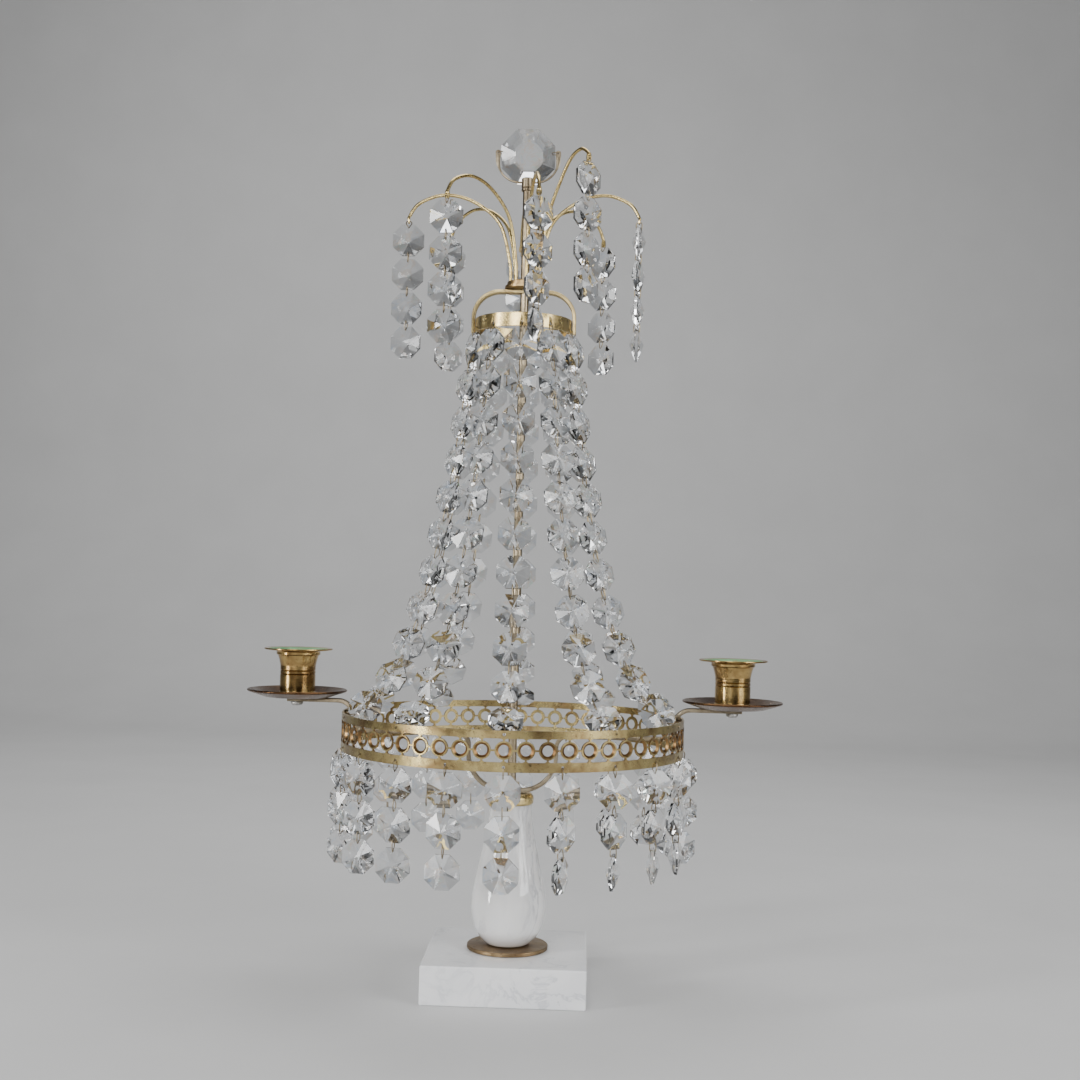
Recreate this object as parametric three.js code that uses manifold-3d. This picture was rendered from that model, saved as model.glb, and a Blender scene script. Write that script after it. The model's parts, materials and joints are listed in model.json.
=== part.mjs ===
// Two-light table candelabrum hung with cut octagons.
// Millimetres, +Z up. The origin is the middle of the block's underside.
// The front is -Y, the candles lie along X.
import * as THREE from 'three';
import { mergeVertices } from 'three/addons/utils/BufferGeometryUtils.js';
import Module from 'manifold-3d';

// Clearances
const seatGap = 0.3;
const boreGap = 0.3;
const cutOverrun = 3;
const mergeTolerance = 1e-4;
const curveHalvings = 60;

// Marble block
const baseWidth = 110;
const baseHeight = 26;
const baseEdge = 1.2;
const baseCorner = 1.5;
const blockSides = 4;
const counterboreRadius = 12;
const counterboreDepth = 10;

// Foot disc, vase and collar
const footRadius = 28;
const footThickness = 2.6;
const footEdge = 0.7;
const vaseRadius = 25.9;
const vaseHeight = 96.4;
const vaseShares = [[0.44, 0], [0.6, 0.012], [0.84, 0.085], [0.96, 0.175], [1, 0.28],
  [0.93, 0.44], [0.77, 0.63], [0.62, 0.83], [0.555, 1]];
const collarRadius = 15.6;
const collarHeight = 7.2;
const collarEdge = 1.4;

// Stem rod with its nuts and washer
const rodRadius = 3;
const rodLength = 558;
const rodFootHeight = 1.5;
const nutRadius = 6.2;
const nutHeight = 5;
const cradleNutHeight = 4;
const washerRadius = 10;
const washerThickness = 1.6;

// Cradle bar: the arms, their drops inside the gallery and the dip that sits on the collar
const barThickness = 2.8;
const barWidth = 7;
const candleReach = 152;
const armTail = 6.5;
const armDropReach = 112;
const armRise = 20.4;
const armBendRadius = 11;
const runBendRadius = 8;
const dipHalfWidth = 30.6;
const dipSeat = 6;
const dipDepth = 38.5;
const studRadius = 2;

// Pierced gallery
const galleryRadius = 118.6;
const galleryWall = 1.3;
const galleryTopRim = 4.9;
const galleryPierced = 14.6;
const galleryBottomRim = 6.1;
const galleryDrop = 11.2;
const circleCount = 54;
const circleHoleRadius = 3.6;
const fretBar = 1.4;

// Drip pans, candle sockets and their screws
const panRadius = 35;
const panFloorRadius = 20;
const panRise = 4.4;
const panThickness = 1.2;
const socketHeight = 32.6;
const socketRadius = 12.3;
const socketFootRadius = 12.7;
const socketFootHeight = 2.4;
const socketBore = 11.2;
const socketFloor = 4;
const socketThroatRadius = 14.4;
const socketRimRadius = 23.7;
const socketRimThickness = 1.1;
const socketFlareShares = [[0, 0], [0.1, 0.4], [0.26, 0.8], [1, 1]];
const socketFlareHeight = 6;
const socketMouthDepth = 1;
const socketFunnelDepth = 6.5;
const screwRadius = 2;
const screwHeadRadius = 4.2;
const screwHeadHeight = 2.4;
const screwReach = 2.4;

// Spray: hub and arched wire arms
const hubDrop = 74.2;
const hubRadius = 14;
const hubStepRadius = 12.4;
const hubHeight = 5.2;
const hubStepHeight = 2.4;
const armWire = 2.4;
const armCircleRadius = 10.2;
const armReach = 70.8;
const armHeight = 61.3;
const armRoot = 2;
const armShares = [[0, 0], [0.012, 0.24], [0.12, 0.68], [0.38, 0.93], [0.66, 1], [0.9, 0.9], [1, 0.74]];
const raisedArmShares = [
  [0, 0], [0.13, 0.36], [0.21, 0.72], [0.39, 1.07], [0.54, 1.28], [0.69, 1.34], [0.8, 1.26],
];
const armAngles = [8, 40, 84, 137, 185, 226, 270, 324];
const armReachShares = [1, 1, 0.98, 1, 1, 1, 1.03, 1.05];
const raisedArmIndex = 1;
const armSteps = 6;
const tipWidth = 3.7;
const tipLength = 7.4;
const tipThickness = 1;
const tipHoleShare = 0.25;

// Small ring and the bow over it
const smallRingRadius = 33.9;
const smallRingWall = 1.2;
const smallRingHeight = 9.5;
const smallRingHoleShare = 0.3;
const bowThickness = 2.6;
const bowWidth = 7;
const bowHeight = 31;
const bowCorner = 18.7;

// Finial: ferrule, stirrup and large octagon
const ferruleRadius = 4.2;
const ferruleHeight = 9.2;
const ferruleGrip = 4;
const ferruleBridge = 0.8;
const stirrupWire = 1.9;
const stirrupHalfWidth = 21.3;
const stirrupCorner = 15.5;
const earRadius = 1.9;
const earThickness = 1.2;
const earHeight = 21;
const gemFlats = 38;
const gemTableFlats = 17;
const gemThickness = 12;
const gemGirdle = 1.6;
const gemHangShare = 0.07;
const gemSwingAngle = 34;

// Cut octagons of the strands and the wire that holds them
const crystalFlats = 22;
const crystalThickness = 10;
const linkHalfWidth = 0.7;
const linkDepthShare = 0.13;
const wire = 0.8;
const strandHole = 1.7;
const loopInside = 1.7;
const loopFootShare = 0.2;
const hookTip = 0.8;
const hookSink = 1.6;

// How the octagons are turned: the shares are of the way from facing outward to facing the front or back
const strandSwayAngle = 6;
const longTopShare = 0.25;
const longFootShare = 0.8;
const sprayFacingAngles = [
  [30, 62], [42, 42], [80, 82], [145, 150], [175, 190], [205, 215], [360, 345], [355, 352],
];
const galleryShare = 0.6;
const galleryTwistAngle = 60;
const galleryTwistFrom = 0.2;

// Strands: how many octagons, their spacing and the drop from the hole to the first one
const longStrandCount = 10;
const longCrystalCount = 11;
const longPitch = 26.2;
const longHang = 15.8;
const galleryStrandCount = 20;
const galleryCrystalCount = 3;
const galleryPitch = 25.3;
const galleryHang = 15.8;
const sprayCrystalCount = 4;
const sprayPitch = 24.2;
const sprayHang = 13.7;

// Sides of the round pieces
const coarseSides = 10;
const mediumSides = 16;
const fineSides = 20;
const octagonSides = 8;
const hexSides = 6;
const arcSteps = 3;
const vaseSteps = 10;

const fullTurn = 2 * Math.PI;
const quarterTurn = Math.PI / 2;
const radians = THREE.MathUtils.degToRad;

// Heights of the seats, from the table up
const footBottom = baseHeight + seatGap;
const vaseBottom = footBottom + footThickness + seatGap;
const collarBottom = vaseBottom + vaseHeight + seatGap;
const dipBottom = collarBottom + collarHeight + seatGap;
const dipMiddle = dipBottom + barThickness / 2;
const runMiddle = dipMiddle + dipDepth;
const armMiddle = runMiddle + armRise;
const galleryBottom = runMiddle - galleryDrop;
const galleryHeight = galleryBottomRim + galleryPierced + galleryTopRim;
const galleryTop = galleryBottom + galleryHeight;
const panBottom = armMiddle + barThickness / 2 + seatGap;
const socketBottom = panBottom + panThickness + seatGap;
const rodTop = rodFootHeight + rodLength;
const hubBottom = rodTop - hubDrop;
const hubTop = hubBottom + hubHeight;
const bowTop = hubBottom - seatGap;
const bowBottom = bowTop - bowHeight;
const smallRingHoleHeight = bowBottom + smallRingHeight * smallRingHoleShare;
const rodBore = rodRadius + boreGap;

// Manifold solids, used to join and cut closed meshes
const wasm = await Module();
wasm.setup();

function toSolid(geometry) {
  const bare = geometry.clone();
  bare.deleteAttribute('normal');
  bare.deleteAttribute('uv');
  const merged = mergeVertices(bare, mergeTolerance);
  const vertProperties = merged.attributes.position.array;
  const triVerts = new Uint32Array(merged.index.array);
  return new wasm.Manifold(new wasm.Mesh({ numProp: 3, vertProperties, triVerts }));
}

function toGeometry(solid) {
  const { vertProperties, triVerts } = solid.getMesh();
  const geometry = new THREE.BufferGeometry();
  geometry.setAttribute('position', new THREE.BufferAttribute(vertProperties, 3));
  geometry.setIndex(new THREE.BufferAttribute(triVerts, 1));
  return geometry;
}

function joined(geometries) {
  return toGeometry(geometries.map(toSolid).reduce((whole, next) => whole.add(next)));
}

function cutBy(geometry, tools) {
  return toGeometry(tools.map(toSolid).reduce((whole, tool) => whole.subtract(tool), toSolid(geometry)));
}

// A profile of [radius, height] points turned round the Z axis: from axis to axis, or a closed loop
function turned(profile, sides) {
  const points = profile.map(([radius, height]) => new THREE.Vector2(radius, height));
  return new THREE.LatheGeometry(points, sides).rotateX(quarterTurn);
}

function bored(profile, sides) {
  return turned([...profile, profile[0]], sides);
}

function upright(radius, bottom, top, sides) {
  const height = top - bottom;
  return new THREE.CylinderGeometry(radius, radius, height, sides)
    .rotateX(quarterTurn)
    .translate(0, 0, bottom + height / 2);
}

// The side of a bearing in degrees, counted from the front towards +X
function onBearing(geometry, bearing) {
  return geometry.rotateZ(radians(bearing) - quarterTurn);
}

function evenBearings(count) {
  return Array.from({ length: count }, (_, index) => index * 360 / count);
}

// A route through corners {x, y, r}, each rounded with its radius
function roundedRoute(corners) {
  const route = [];
  corners.forEach((corner, index) => {
    const here = new THREE.Vector2(corner.x, corner.y);
    if (!corner.r) {
      route.push(here);
      return;
    }
    const back = new THREE.Vector2(corners[index - 1].x, corners[index - 1].y).sub(here).normalize();
    const ahead = new THREE.Vector2(corners[index + 1].x, corners[index + 1].y).sub(here).normalize();
    const half = Math.acos(back.dot(ahead)) / 2;
    const centre = back.clone().add(ahead).normalize().multiplyScalar(corner.r / Math.sin(half)).add(here);
    const start = back.clone().multiplyScalar(corner.r / Math.tan(half)).add(here).sub(centre);
    const end = ahead.clone().multiplyScalar(corner.r / Math.tan(half)).add(here).sub(centre);
    const cosine = THREE.MathUtils.clamp(start.dot(end) / corner.r ** 2, -1, 1);
    const sweep = Math.sign(start.cross(end)) * Math.acos(cosine);
    for (let step = 0; step <= arcSteps; step += 1) {
      route.push(start.clone().rotateAround(new THREE.Vector2(), sweep * step / arcSteps).add(centre));
    }
  });
  return route.filter((point, index) => index === 0 || point.distanceTo(route[index - 1]) > mergeTolerance);
}

// A flat strip or square wire bent along a route in the XZ plane, centred on y = 0
function bent(route, thickness, width) {
  const sides = [[], []];
  route.forEach((point, index) => {
    const into = point.clone().sub(route[Math.max(index - 1, 0)]);
    const out = route[Math.min(index + 1, route.length - 1)].clone().sub(point);
    const first = (into.length() > 0 ? into : out).clone().normalize();
    const second = (out.length() > 0 ? out : into).clone().normalize();
    const mitre = first.clone().add(second).normalize();
    const normal = new THREE.Vector2(-mitre.y, mitre.x).multiplyScalar(thickness / 2 / mitre.dot(first));
    sides[0].push(point.clone().add(normal));
    sides[1].unshift(point.clone().sub(normal));
  });
  const outline = new THREE.Shape([...sides[0], ...sides[1]]);
  const strip = new THREE.ExtrudeGeometry(outline, { depth: width, bevelEnabled: false, steps: 1 });
  return strip.translate(0, 0, -width / 2).rotateX(quarterTurn);
}

// Materials
const looks = {
  brass: { color: 0xb08d4f, roughness: 0.35, metalness: 1 },
  agedBrass: { color: 0x7d6238, roughness: 0.5, metalness: 1 },
  steel: { color: 0x8f8f8c, roughness: 0.4, metalness: 1 },
  marble: { color: 0xdcdde2, roughness: 0.3, metalness: 0 },
  alabaster: { color: 0xf1efe9, roughness: 0.15, metalness: 0 },
  crystal: {
    color: 0xf4f7fa,
    roughness: 0.03,
    metalness: 0,
    transparent: true,
    opacity: 0.4,
    flatShading: true,
  },
};

const candelabrum = new THREE.Group();

function add(name, look, geometry, parent = candelabrum) {
  const mesh = new THREE.Mesh(geometry, new THREE.MeshStandardMaterial(looks[look]));
  mesh.name = name;
  parent.add(mesh);
  return mesh;
}

// Block, with a counterbore under it for the nut and washer
function makeBase() {
  const half = baseWidth / 2 - baseEdge;
  const flat = half - baseCorner;
  const centre = new THREE.Vector2();
  const corners = evenBearings(blockSides).flatMap((bearing) => [-flat, flat].map((along) => (
    new THREE.Vector2(half, along).rotateAround(centre, radians(bearing))
  )));
  const block = new THREE.ExtrudeGeometry(new THREE.Shape(corners), {
    depth: baseHeight - 2 * baseEdge,
    bevelSize: baseEdge,
    bevelThickness: baseEdge,
    bevelSegments: 1,
  }).translate(0, 0, baseEdge);
  const bore = upright(rodBore, -cutOverrun, baseHeight + cutOverrun, coarseSides);
  const counterbore = upright(counterboreRadius, -cutOverrun, counterboreDepth, mediumSides);
  return cutBy(block, [bore, counterbore]);
}

function hexNut(bottom, height) {
  const hole = rodBore / Math.cos(Math.PI / hexSides);
  const top = bottom + height;
  return bored([[hole, bottom], [nutRadius, bottom], [nutRadius, top], [hole, top]], hexSides);
}

const washerTop = counterboreDepth - seatGap;
const washerBottom = washerTop - washerThickness;
add('base', 'marble', makeBase());
add('base_washer', 'steel', bored([[rodBore, washerBottom], [washerRadius, washerBottom],
  [washerRadius, washerTop], [rodBore, washerTop]], coarseSides));
add('base_nut', 'steel', hexNut(washerBottom - seatGap - nutHeight, nutHeight));

// Foot disc, vase and collar
const footTop = footBottom + footThickness;
add('foot_disc', 'agedBrass', bored([[rodBore, footBottom], [footRadius, footBottom],
  [footRadius, footTop - footEdge], [footRadius - footEdge, footTop], [rodBore, footTop]], fineSides));

function makeVase() {
  const outline = new THREE.SplineCurve(
    vaseShares.map(([out, up]) => new THREE.Vector2(out * vaseRadius, vaseBottom + up * vaseHeight)),
  );
  const side = outline.getPoints(vaseSteps).map((point) => [point.x, point.y]);
  const top = vaseBottom + vaseHeight;
  side[side.length - 1][1] = top;
  return bored([[rodBore, vaseBottom], ...side, [rodBore, top]], mediumSides);
}

add('vase', 'alabaster', makeVase());
const collarTop = collarBottom + collarHeight;
add('collar', 'brass', bored([[rodBore, collarBottom], [collarRadius, collarBottom],
  [collarRadius, collarTop - collarEdge], [collarRadius - collarEdge, collarTop],
  [rodBore, collarTop]], mediumSides));

// Cradle bar, one bent strap from candle to candle, with a brazed stud on each drop that holds the gallery
function makeCradle() {
  const half = [
    { x: candleReach + armTail, y: armMiddle },
    { x: armDropReach, y: armMiddle, r: armBendRadius },
    { x: armDropReach, y: runMiddle, r: runBendRadius },
    { x: dipHalfWidth, y: runMiddle, r: runBendRadius },
    { x: dipHalfWidth, y: dipMiddle, r: dipHalfWidth - dipSeat },
  ];
  const otherHalf = half.map((corner) => ({ ...corner, x: -corner.x })).reverse();
  const strap = bent(roundedRoute([...half, ...otherHalf]), barThickness, barWidth);
  const studHeight = galleryTop - galleryTopRim / 2;
  const studEnd = galleryRadius * Math.cos(Math.PI / circleCount) - galleryWall - seatGap;
  const studLength = studEnd - armDropReach;
  const studs = [1, -1].map((side) => (
    new THREE.CylinderGeometry(studRadius, studRadius, studLength, hexSides).rotateZ(quarterTurn)
      .translate(side * (armDropReach + studEnd) / 2, 0, studHeight)
  ));
  const rodHole = upright(rodBore, dipBottom - cutOverrun, dipMiddle + cutOverrun, coarseSides);
  const screwHoles = [1, -1].map((side) => upright(screwRadius + boreGap, armMiddle - cutOverrun,
    armMiddle + cutOverrun, octagonSides).translate(side * candleReach, 0, 0));
  return cutBy(joined([strap, ...studs]), [rodHole, ...screwHoles]);
}

add('cradle_bar', 'agedBrass', makeCradle());
add('cradle_nut', 'steel', hexNut(dipMiddle + barThickness / 2 + seatGap, cradleNutHeight));

// Gallery: one cell reaches from the middle of a circle to the middle of the next,
// and is wrapped round the ring
function makeFretCell() {
  const pitch = galleryRadius * fullTurn / circleCount;
  const middle = galleryBottomRim + galleryPierced / 2;
  const centre = new THREE.Vector2();
  const halfCircle = (x, start) => Array.from({ length: octagonSides / 2 + 1 }, (_, step) => {
    const angle = start - step * fullTurn / octagonSides;
    const spoke = new THREE.Vector2(circleHoleRadius, 0).rotateAround(centre, angle);
    return new THREE.Vector2(x, middle).add(spoke);
  });
  const contour = [
    new THREE.Vector2(0, 0),
    new THREE.Vector2(pitch, 0),
    ...halfCircle(pitch, -quarterTurn),
    new THREE.Vector2(pitch, galleryHeight),
    new THREE.Vector2(0, galleryHeight),
    ...halfCircle(0, quarterTurn),
  ];
  const above = [
    new THREE.Vector2(pitch / 2, middle + fretBar / 2),
    new THREE.Vector2(fretBar / 2, galleryHeight - galleryTopRim),
    new THREE.Vector2(pitch - fretBar / 2, galleryHeight - galleryTopRim),
  ];
  const below = [
    new THREE.Vector2(pitch / 2, middle - fretBar / 2),
    new THREE.Vector2(pitch - fretBar / 2, galleryBottomRim),
    new THREE.Vector2(fretBar / 2, galleryBottomRim),
  ];
  return { pitch, contour, holes: [above, below] };
}

function makeGallery() {
  const { pitch, contour, holes } = makeFretCell();
  const flat = [contour, ...holes].flat();
  const faces = THREE.ShapeUtils.triangulateShape(contour, holes);
  const positions = [];
  const placed = (cell, point, radius) => {
    const angle = (cell + point.x / pitch) * fullTurn / circleCount - quarterTurn;
    return [radius * Math.cos(angle), radius * Math.sin(angle), galleryBottom + point.y];
  };
  const inner = galleryRadius - galleryWall;
  for (let cell = 0; cell < circleCount; cell += 1) {
    for (const [a, b, c] of faces) {
      for (const corner of [a, b, c]) positions.push(...placed(cell, flat[corner], galleryRadius));
      for (const corner of [c, b, a]) positions.push(...placed(cell, flat[corner], inner));
    }
    for (const loop of [contour, ...holes]) {
      loop.forEach((from, index) => {
        const to = loop[(index + 1) % loop.length];
        const offSeam = (seam) => Math.abs(from.x - seam) + Math.abs(to.x - seam);
        if ([0, pitch].some((seam) => offSeam(seam) < mergeTolerance)) return;
        positions.push(...placed(cell, from, galleryRadius), ...placed(cell, from, inner),
          ...placed(cell, to, inner));
        positions.push(...placed(cell, from, galleryRadius), ...placed(cell, to, inner),
          ...placed(cell, to, galleryRadius));
      });
    }
  }
  const band = new THREE.BufferGeometry();
  band.setAttribute('position', new THREE.Float32BufferAttribute(positions, 3));
  return band;
}

function wallHole(radius, height, bearing) {
  const drill = new THREE.BoxGeometry(2 * cutOverrun, strandHole, strandHole);
  return onBearing(drill.translate(radius, 0, height), bearing);
}

const lowerHoleHeight = galleryBottom + galleryBottomRim / 2;
const upperHoleHeight = galleryTop - galleryTopRim / 2;
const galleryMiddleRadius = galleryRadius - galleryWall / 2;
const galleryHoles = [[galleryStrandCount, lowerHoleHeight], [longStrandCount, upperHoleHeight]];
add('gallery', 'brass', cutBy(makeGallery(), galleryHoles.flatMap(([count, height]) => (
  evenBearings(count).map((bearing) => wallHole(galleryMiddleRadius, height, bearing))
))));

// Drip pans, candle sockets and screws
function makePan() {
  const top = panBottom + panRise;
  return bored([[screwRadius + boreGap, panBottom], [panFloorRadius, panBottom], [panRadius, top],
    [panRadius, top + panThickness], [panFloorRadius, panBottom + panThickness],
    [screwRadius + boreGap, panBottom + panThickness]], fineSides);
}

function makeSocket() {
  const top = socketBottom + socketHeight;
  const flareBottom = top - socketRimThickness - socketFlareHeight;
  const flare = socketFlareShares.map(([out, up]) => [socketRadius + out * (socketRimRadius - socketRadius),
    flareBottom + up * socketFlareHeight]);
  const body = turned([[0, socketBottom], [socketFootRadius, socketBottom],
    [socketRadius, socketBottom + socketFootHeight], ...flare, [socketRimRadius, top],
    [socketThroatRadius, top - socketMouthDepth], [socketBore, top - socketFunnelDepth],
    [socketBore, socketBottom + socketFloor], [0, socketBottom + socketFloor]], mediumSides);
  return cutBy(body, [upright(screwRadius + boreGap, socketBottom - cutOverrun,
    socketBottom + screwReach + seatGap, octagonSides)]);
}

function makeScrew() {
  const headTop = armMiddle - barThickness / 2 - seatGap;
  const headBottom = headTop - screwHeadHeight;
  const end = socketBottom + screwReach;
  return turned([[0, headBottom], [screwHeadRadius, headBottom], [screwHeadRadius, headTop],
    [screwRadius, headTop], [screwRadius, end], [0, end]], octagonSides);
}

for (const [side, sign] of [['left', -1], ['right', 1]]) {
  const candle = new THREE.Group();
  candle.position.x = sign * candleReach;
  candelabrum.add(candle);
  add(`pan_${side}`, 'agedBrass', makePan(), candle);
  add(`socket_${side}`, 'brass', makeSocket(), candle);
  add(`pan_screw_${side}`, 'steel', makeScrew(), candle);
}

// Stem rod
add('stem_rod', 'agedBrass', upright(rodRadius, rodFootHeight, rodTop, coarseSides));

// Small ring, drilled for the long strands, and the bow that it hangs from
function makeSmallRing() {
  const inner = smallRingRadius - smallRingWall;
  const top = bowBottom + smallRingHeight;
  const band = bored([[inner, bowBottom], [smallRingRadius, bowBottom],
    [smallRingRadius, top], [inner, top]], fineSides);
  return cutBy(band, evenBearings(longStrandCount).map((bearing) => (
    wallHole(smallRingRadius - smallRingWall / 2, smallRingHoleHeight, bearing)
  )));
}

function makeBow() {
  const half = smallRingRadius + seatGap + bowThickness / 2;
  const height = bowTop - bowThickness / 2;
  const strap = bent(roundedRoute([
    { x: -half, y: bowBottom },
    { x: -half, y: height, r: bowCorner },
    { x: half, y: height, r: bowCorner },
    { x: half, y: bowBottom },
  ]), bowThickness, bowWidth);
  return cutBy(strap, [upright(rodBore, height - cutOverrun, height + cutOverrun, coarseSides)]);
}

add('small_ring', 'brass', makeSmallRing());
add('upper_bow', 'brass', makeBow());

// Spray: the hub with its brazed arms, each ending in a flattened and drilled tip
function armEnd(shares) {
  const [reach, rise] = shares[shares.length - 1];
  return { radius: armCircleRadius + reach * armReach, height: hubTop + rise * armHeight };
}

function tipHole(shares) {
  const { radius, height } = armEnd(shares);
  return { radius, height: height - tipLength * (1 - tipHoleShare) + armWire };
}

function makeArm(shares, bearing) {
  const curve = new THREE.SplineCurve(shares.map(([reach, rise]) => new THREE.Vector2(
    armCircleRadius + reach * armReach,
    hubTop + rise * armHeight,
  )));
  const route = [new THREE.Vector2(armCircleRadius, hubTop - armRoot), ...curve.getPoints(armSteps)];
  const arm = bent(route, armWire, armWire);
  const { radius, height } = armEnd(shares);
  const tip = new THREE.BoxGeometry(tipThickness, tipWidth, tipLength)
    .translate(radius, 0, height + armWire - tipLength / 2);
  const hole = tipHole(shares);
  const drill = new THREE.BoxGeometry(cutOverrun, strandHole, strandHole)
    .translate(hole.radius, 0, hole.height);
  return onBearing(cutBy(joined([arm, tip]), [drill]), bearing);
}

function sharesOf(arm) {
  const shares = arm === raisedArmIndex ? raisedArmShares : armShares;
  return shares.map(([reach, rise]) => [reach * armReachShares[arm], rise]);
}

function makeSpray() {
  const hub = bored([[rodBore, hubBottom], [hubRadius, hubBottom], [hubRadius, hubBottom + hubStepHeight],
    [hubStepRadius, hubBottom + hubStepHeight], [hubStepRadius, hubTop], [rodBore, hubTop]], mediumSides);
  return joined([hub, ...armAngles.map((bearing, arm) => makeArm(sharesOf(arm), bearing))]);
}

add('spray', 'brass', makeSpray());

// Ferrule on the rod's end, and the stirrup that passes through it
const stirrupMiddle = rodTop + seatGap + ferruleBridge + boreGap + stirrupWire / 2;
const earMiddle = stirrupMiddle + earHeight;

function makeFerrule() {
  const bottom = rodTop - ferruleGrip;
  const top = bottom + ferruleHeight;
  const roof = rodTop + seatGap;
  const window = stirrupWire + 2 * boreGap;
  const body = turned([[rodBore, bottom], [ferruleRadius, bottom], [ferruleRadius, top], [0, top], [0, roof],
    [rodBore, roof], [rodBore, bottom]], coarseSides);
  return cutBy(body, [new THREE.BoxGeometry(2 * ferruleRadius + cutOverrun, window, window)
    .translate(0, 0, stirrupMiddle)]);
}

function makeStirrup() {
  const legTop = earMiddle - earRadius / 2;
  const bow = bent(roundedRoute([
    { x: -stirrupHalfWidth, y: legTop },
    { x: -stirrupHalfWidth, y: stirrupMiddle, r: stirrupCorner },
    { x: stirrupHalfWidth, y: stirrupMiddle, r: stirrupCorner },
    { x: stirrupHalfWidth, y: legTop },
  ]), stirrupWire, stirrupWire);
  const ears = [-1, 1].map((side) => (
    new THREE.CylinderGeometry(earRadius, earRadius, earThickness, octagonSides)
      .translate(side * stirrupHalfWidth, 0, earMiddle)
  ));
  const drills = [-1, 1].map((side) => new THREE.BoxGeometry(strandHole, cutOverrun, strandHole)
    .translate(side * stirrupHalfWidth, 0, earMiddle));
  return cutBy(joined([bow, ...ears]), drills);
}

add('ferrule', 'agedBrass', makeFerrule());
add('stirrup', 'brass', makeStirrup());

// Large octagon, which hangs on two wire loops in the ears and leans back on the ferrule
function circumradius(flats) {
  return flats / 2 / Math.cos(Math.PI / octagonSides);
}

function makeGem() {
  const rim = circumradius(gemFlats);
  const table = circumradius(gemTableFlats);
  const profile = [[0, -gemThickness / 2], [table, -gemThickness / 2], [rim, -gemGirdle / 2],
    [rim, gemGirdle / 2], [table, gemThickness / 2], [0, gemThickness / 2]];
  const points = profile.map(([radius, depth]) => new THREE.Vector2(radius, depth));
  const hang = gemHangShare * gemFlats;
  const stone = new THREE.LatheGeometry(points, octagonSides, Math.PI / octagonSides).translate(0, 0, -hang);
  const inside = gemFlats / 2 - 2 * loopInside;
  const leg = loopInside - wire / 4;
  const loops = [-1, 1].map((side) => {
    const route = [[inside, leg], [stirrupHalfWidth, leg], [stirrupHalfWidth, -leg], [inside, -leg]]
      .map(([x, y]) => new THREE.Vector2(side * x, y));
    return bent(route, wire, wire).rotateX(-quarterTurn - gemLean() - radians(gemSwingAngle) / 2);
  });
  return joined([stone, ...loops]);
}

// How far the octagon leans so that its face just clears the back of the ferrule's top
function gemLean() {
  const ferruleTop = rodTop - ferruleGrip + ferruleHeight;
  const reach = earMiddle - ferruleTop;
  const bottomReach = gemFlats / 2 + gemHangShare * gemFlats;
  const facetSlope = (gemThickness - gemGirdle) / (gemFlats - gemTableFlats);
  const halfThickness = gemGirdle / 2 + (bottomReach - reach) * facetSlope;
  return Math.asin((ferruleRadius + halfThickness + seatGap) / reach);
}

const gem = add('finial_gem', 'crystal', makeGem());
gem.position.z = earMiddle;
gem.rotation.x = gemLean();

// A strand of octagons. Each station has its middle, the direction up the strand and the side that it faces
function strandGeometry(stations) {
  const half = crystalFlats / 2;
  const rim = circumradius(crystalFlats);
  const positions = [];
  const face = (...points) => points.forEach((point) => positions.push(point.x, point.y, point.z));
  const quad = (a, b, c, d) => {
    face(a, b, c);
    face(a, c, d);
  };
  const parts = stations.map(({ middle, up, facing }) => {
    const right = up.clone().cross(facing);
    const at = (x, y, z) => middle.clone().addScaledVector(right, x)
      .addScaledVector(up, y).addScaledVector(facing, z);
    const corners = Array.from({ length: octagonSides }, (_, index) => {
      const angle = (index + 0.5) * fullTurn / octagonSides;
      return at(rim * Math.cos(angle), rim * Math.sin(angle), 0);
    });
    const link = (sign) => ({
      left: at(-linkHalfWidth, sign * half, 0),
      right: at(linkHalfWidth, sign * half, 0),
      front: at(0, sign * half * (1 - linkDepthShare), crystalThickness / 2 * linkDepthShare),
    });
    return { corners, front: at(0, 0, crystalThickness / 2), back: at(0, 0, -crystalThickness / 2),
      top: link(1), bottom: link(-1) };
  });
  parts.forEach((part, index) => {
    const { corners, front, back } = part;
    const linkedUp = index > 0;
    const linkedDown = index < parts.length - 1;
    corners.forEach((corner, side) => {
      const next = corners[(side + 1) % octagonSides];
      const seat = (side === 1 && linkedUp && part.top) || (side === 5 && linkedDown && part.bottom);
      if (!seat) {
        face(front, corner, next);
        face(back, next, corner);
        return;
      }
      const [first, second] = side === 1 ? [seat.right, seat.left] : [seat.left, seat.right];
      face(front, corner, seat.front);
      face(corner, first, seat.front);
      face(front, seat.front, next);
      face(seat.front, second, next);
      face(back, next, second);
      face(back, second, first);
      face(back, first, corner);
    });
    if (linkedDown) {
      const lower = parts[index + 1].top;
      const upper = part.bottom;
      quad(lower.front, lower.right, upper.right, upper.front);
      quad(lower.left, lower.front, upper.front, upper.left);
      quad(lower.right, lower.left, upper.left, upper.right);
    }
  });
  const geometry = new THREE.BufferGeometry();
  geometry.setAttribute('position', new THREE.Float32BufferAttribute(positions, 3));
  return geometry;
}

// A station on a strand that lies in the upright plane y = 0, turned about its own length
function station(radius, height, slope, turn) {
  const up = new THREE.Vector3(-Math.sin(slope), 0, Math.cos(slope));
  const facing = new THREE.Vector3(Math.cos(slope), 0, Math.sin(slope)).applyAxisAngle(up, turn);
  return { middle: new THREE.Vector3(radius, 0, height), up, facing };
}

// How far each octagon is turned from facing outward, when the first and the last face the given bearings
function turnsOf(bearing, [first, last], count) {
  return Array.from({ length: count }, (_, crystal) => {
    const facing = THREE.MathUtils.lerp(first, last, crystal / (count - 1));
    return radians(facing - bearing + strandSwayAngle * Math.sin(bearing + 2 * crystal));
  });
}

// The bearing measured from the front or from the back, whichever is nearer
function offAxis(bearing) {
  return THREE.MathUtils.euclideanModulo(bearing + 90, 180) - 90;
}

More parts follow.
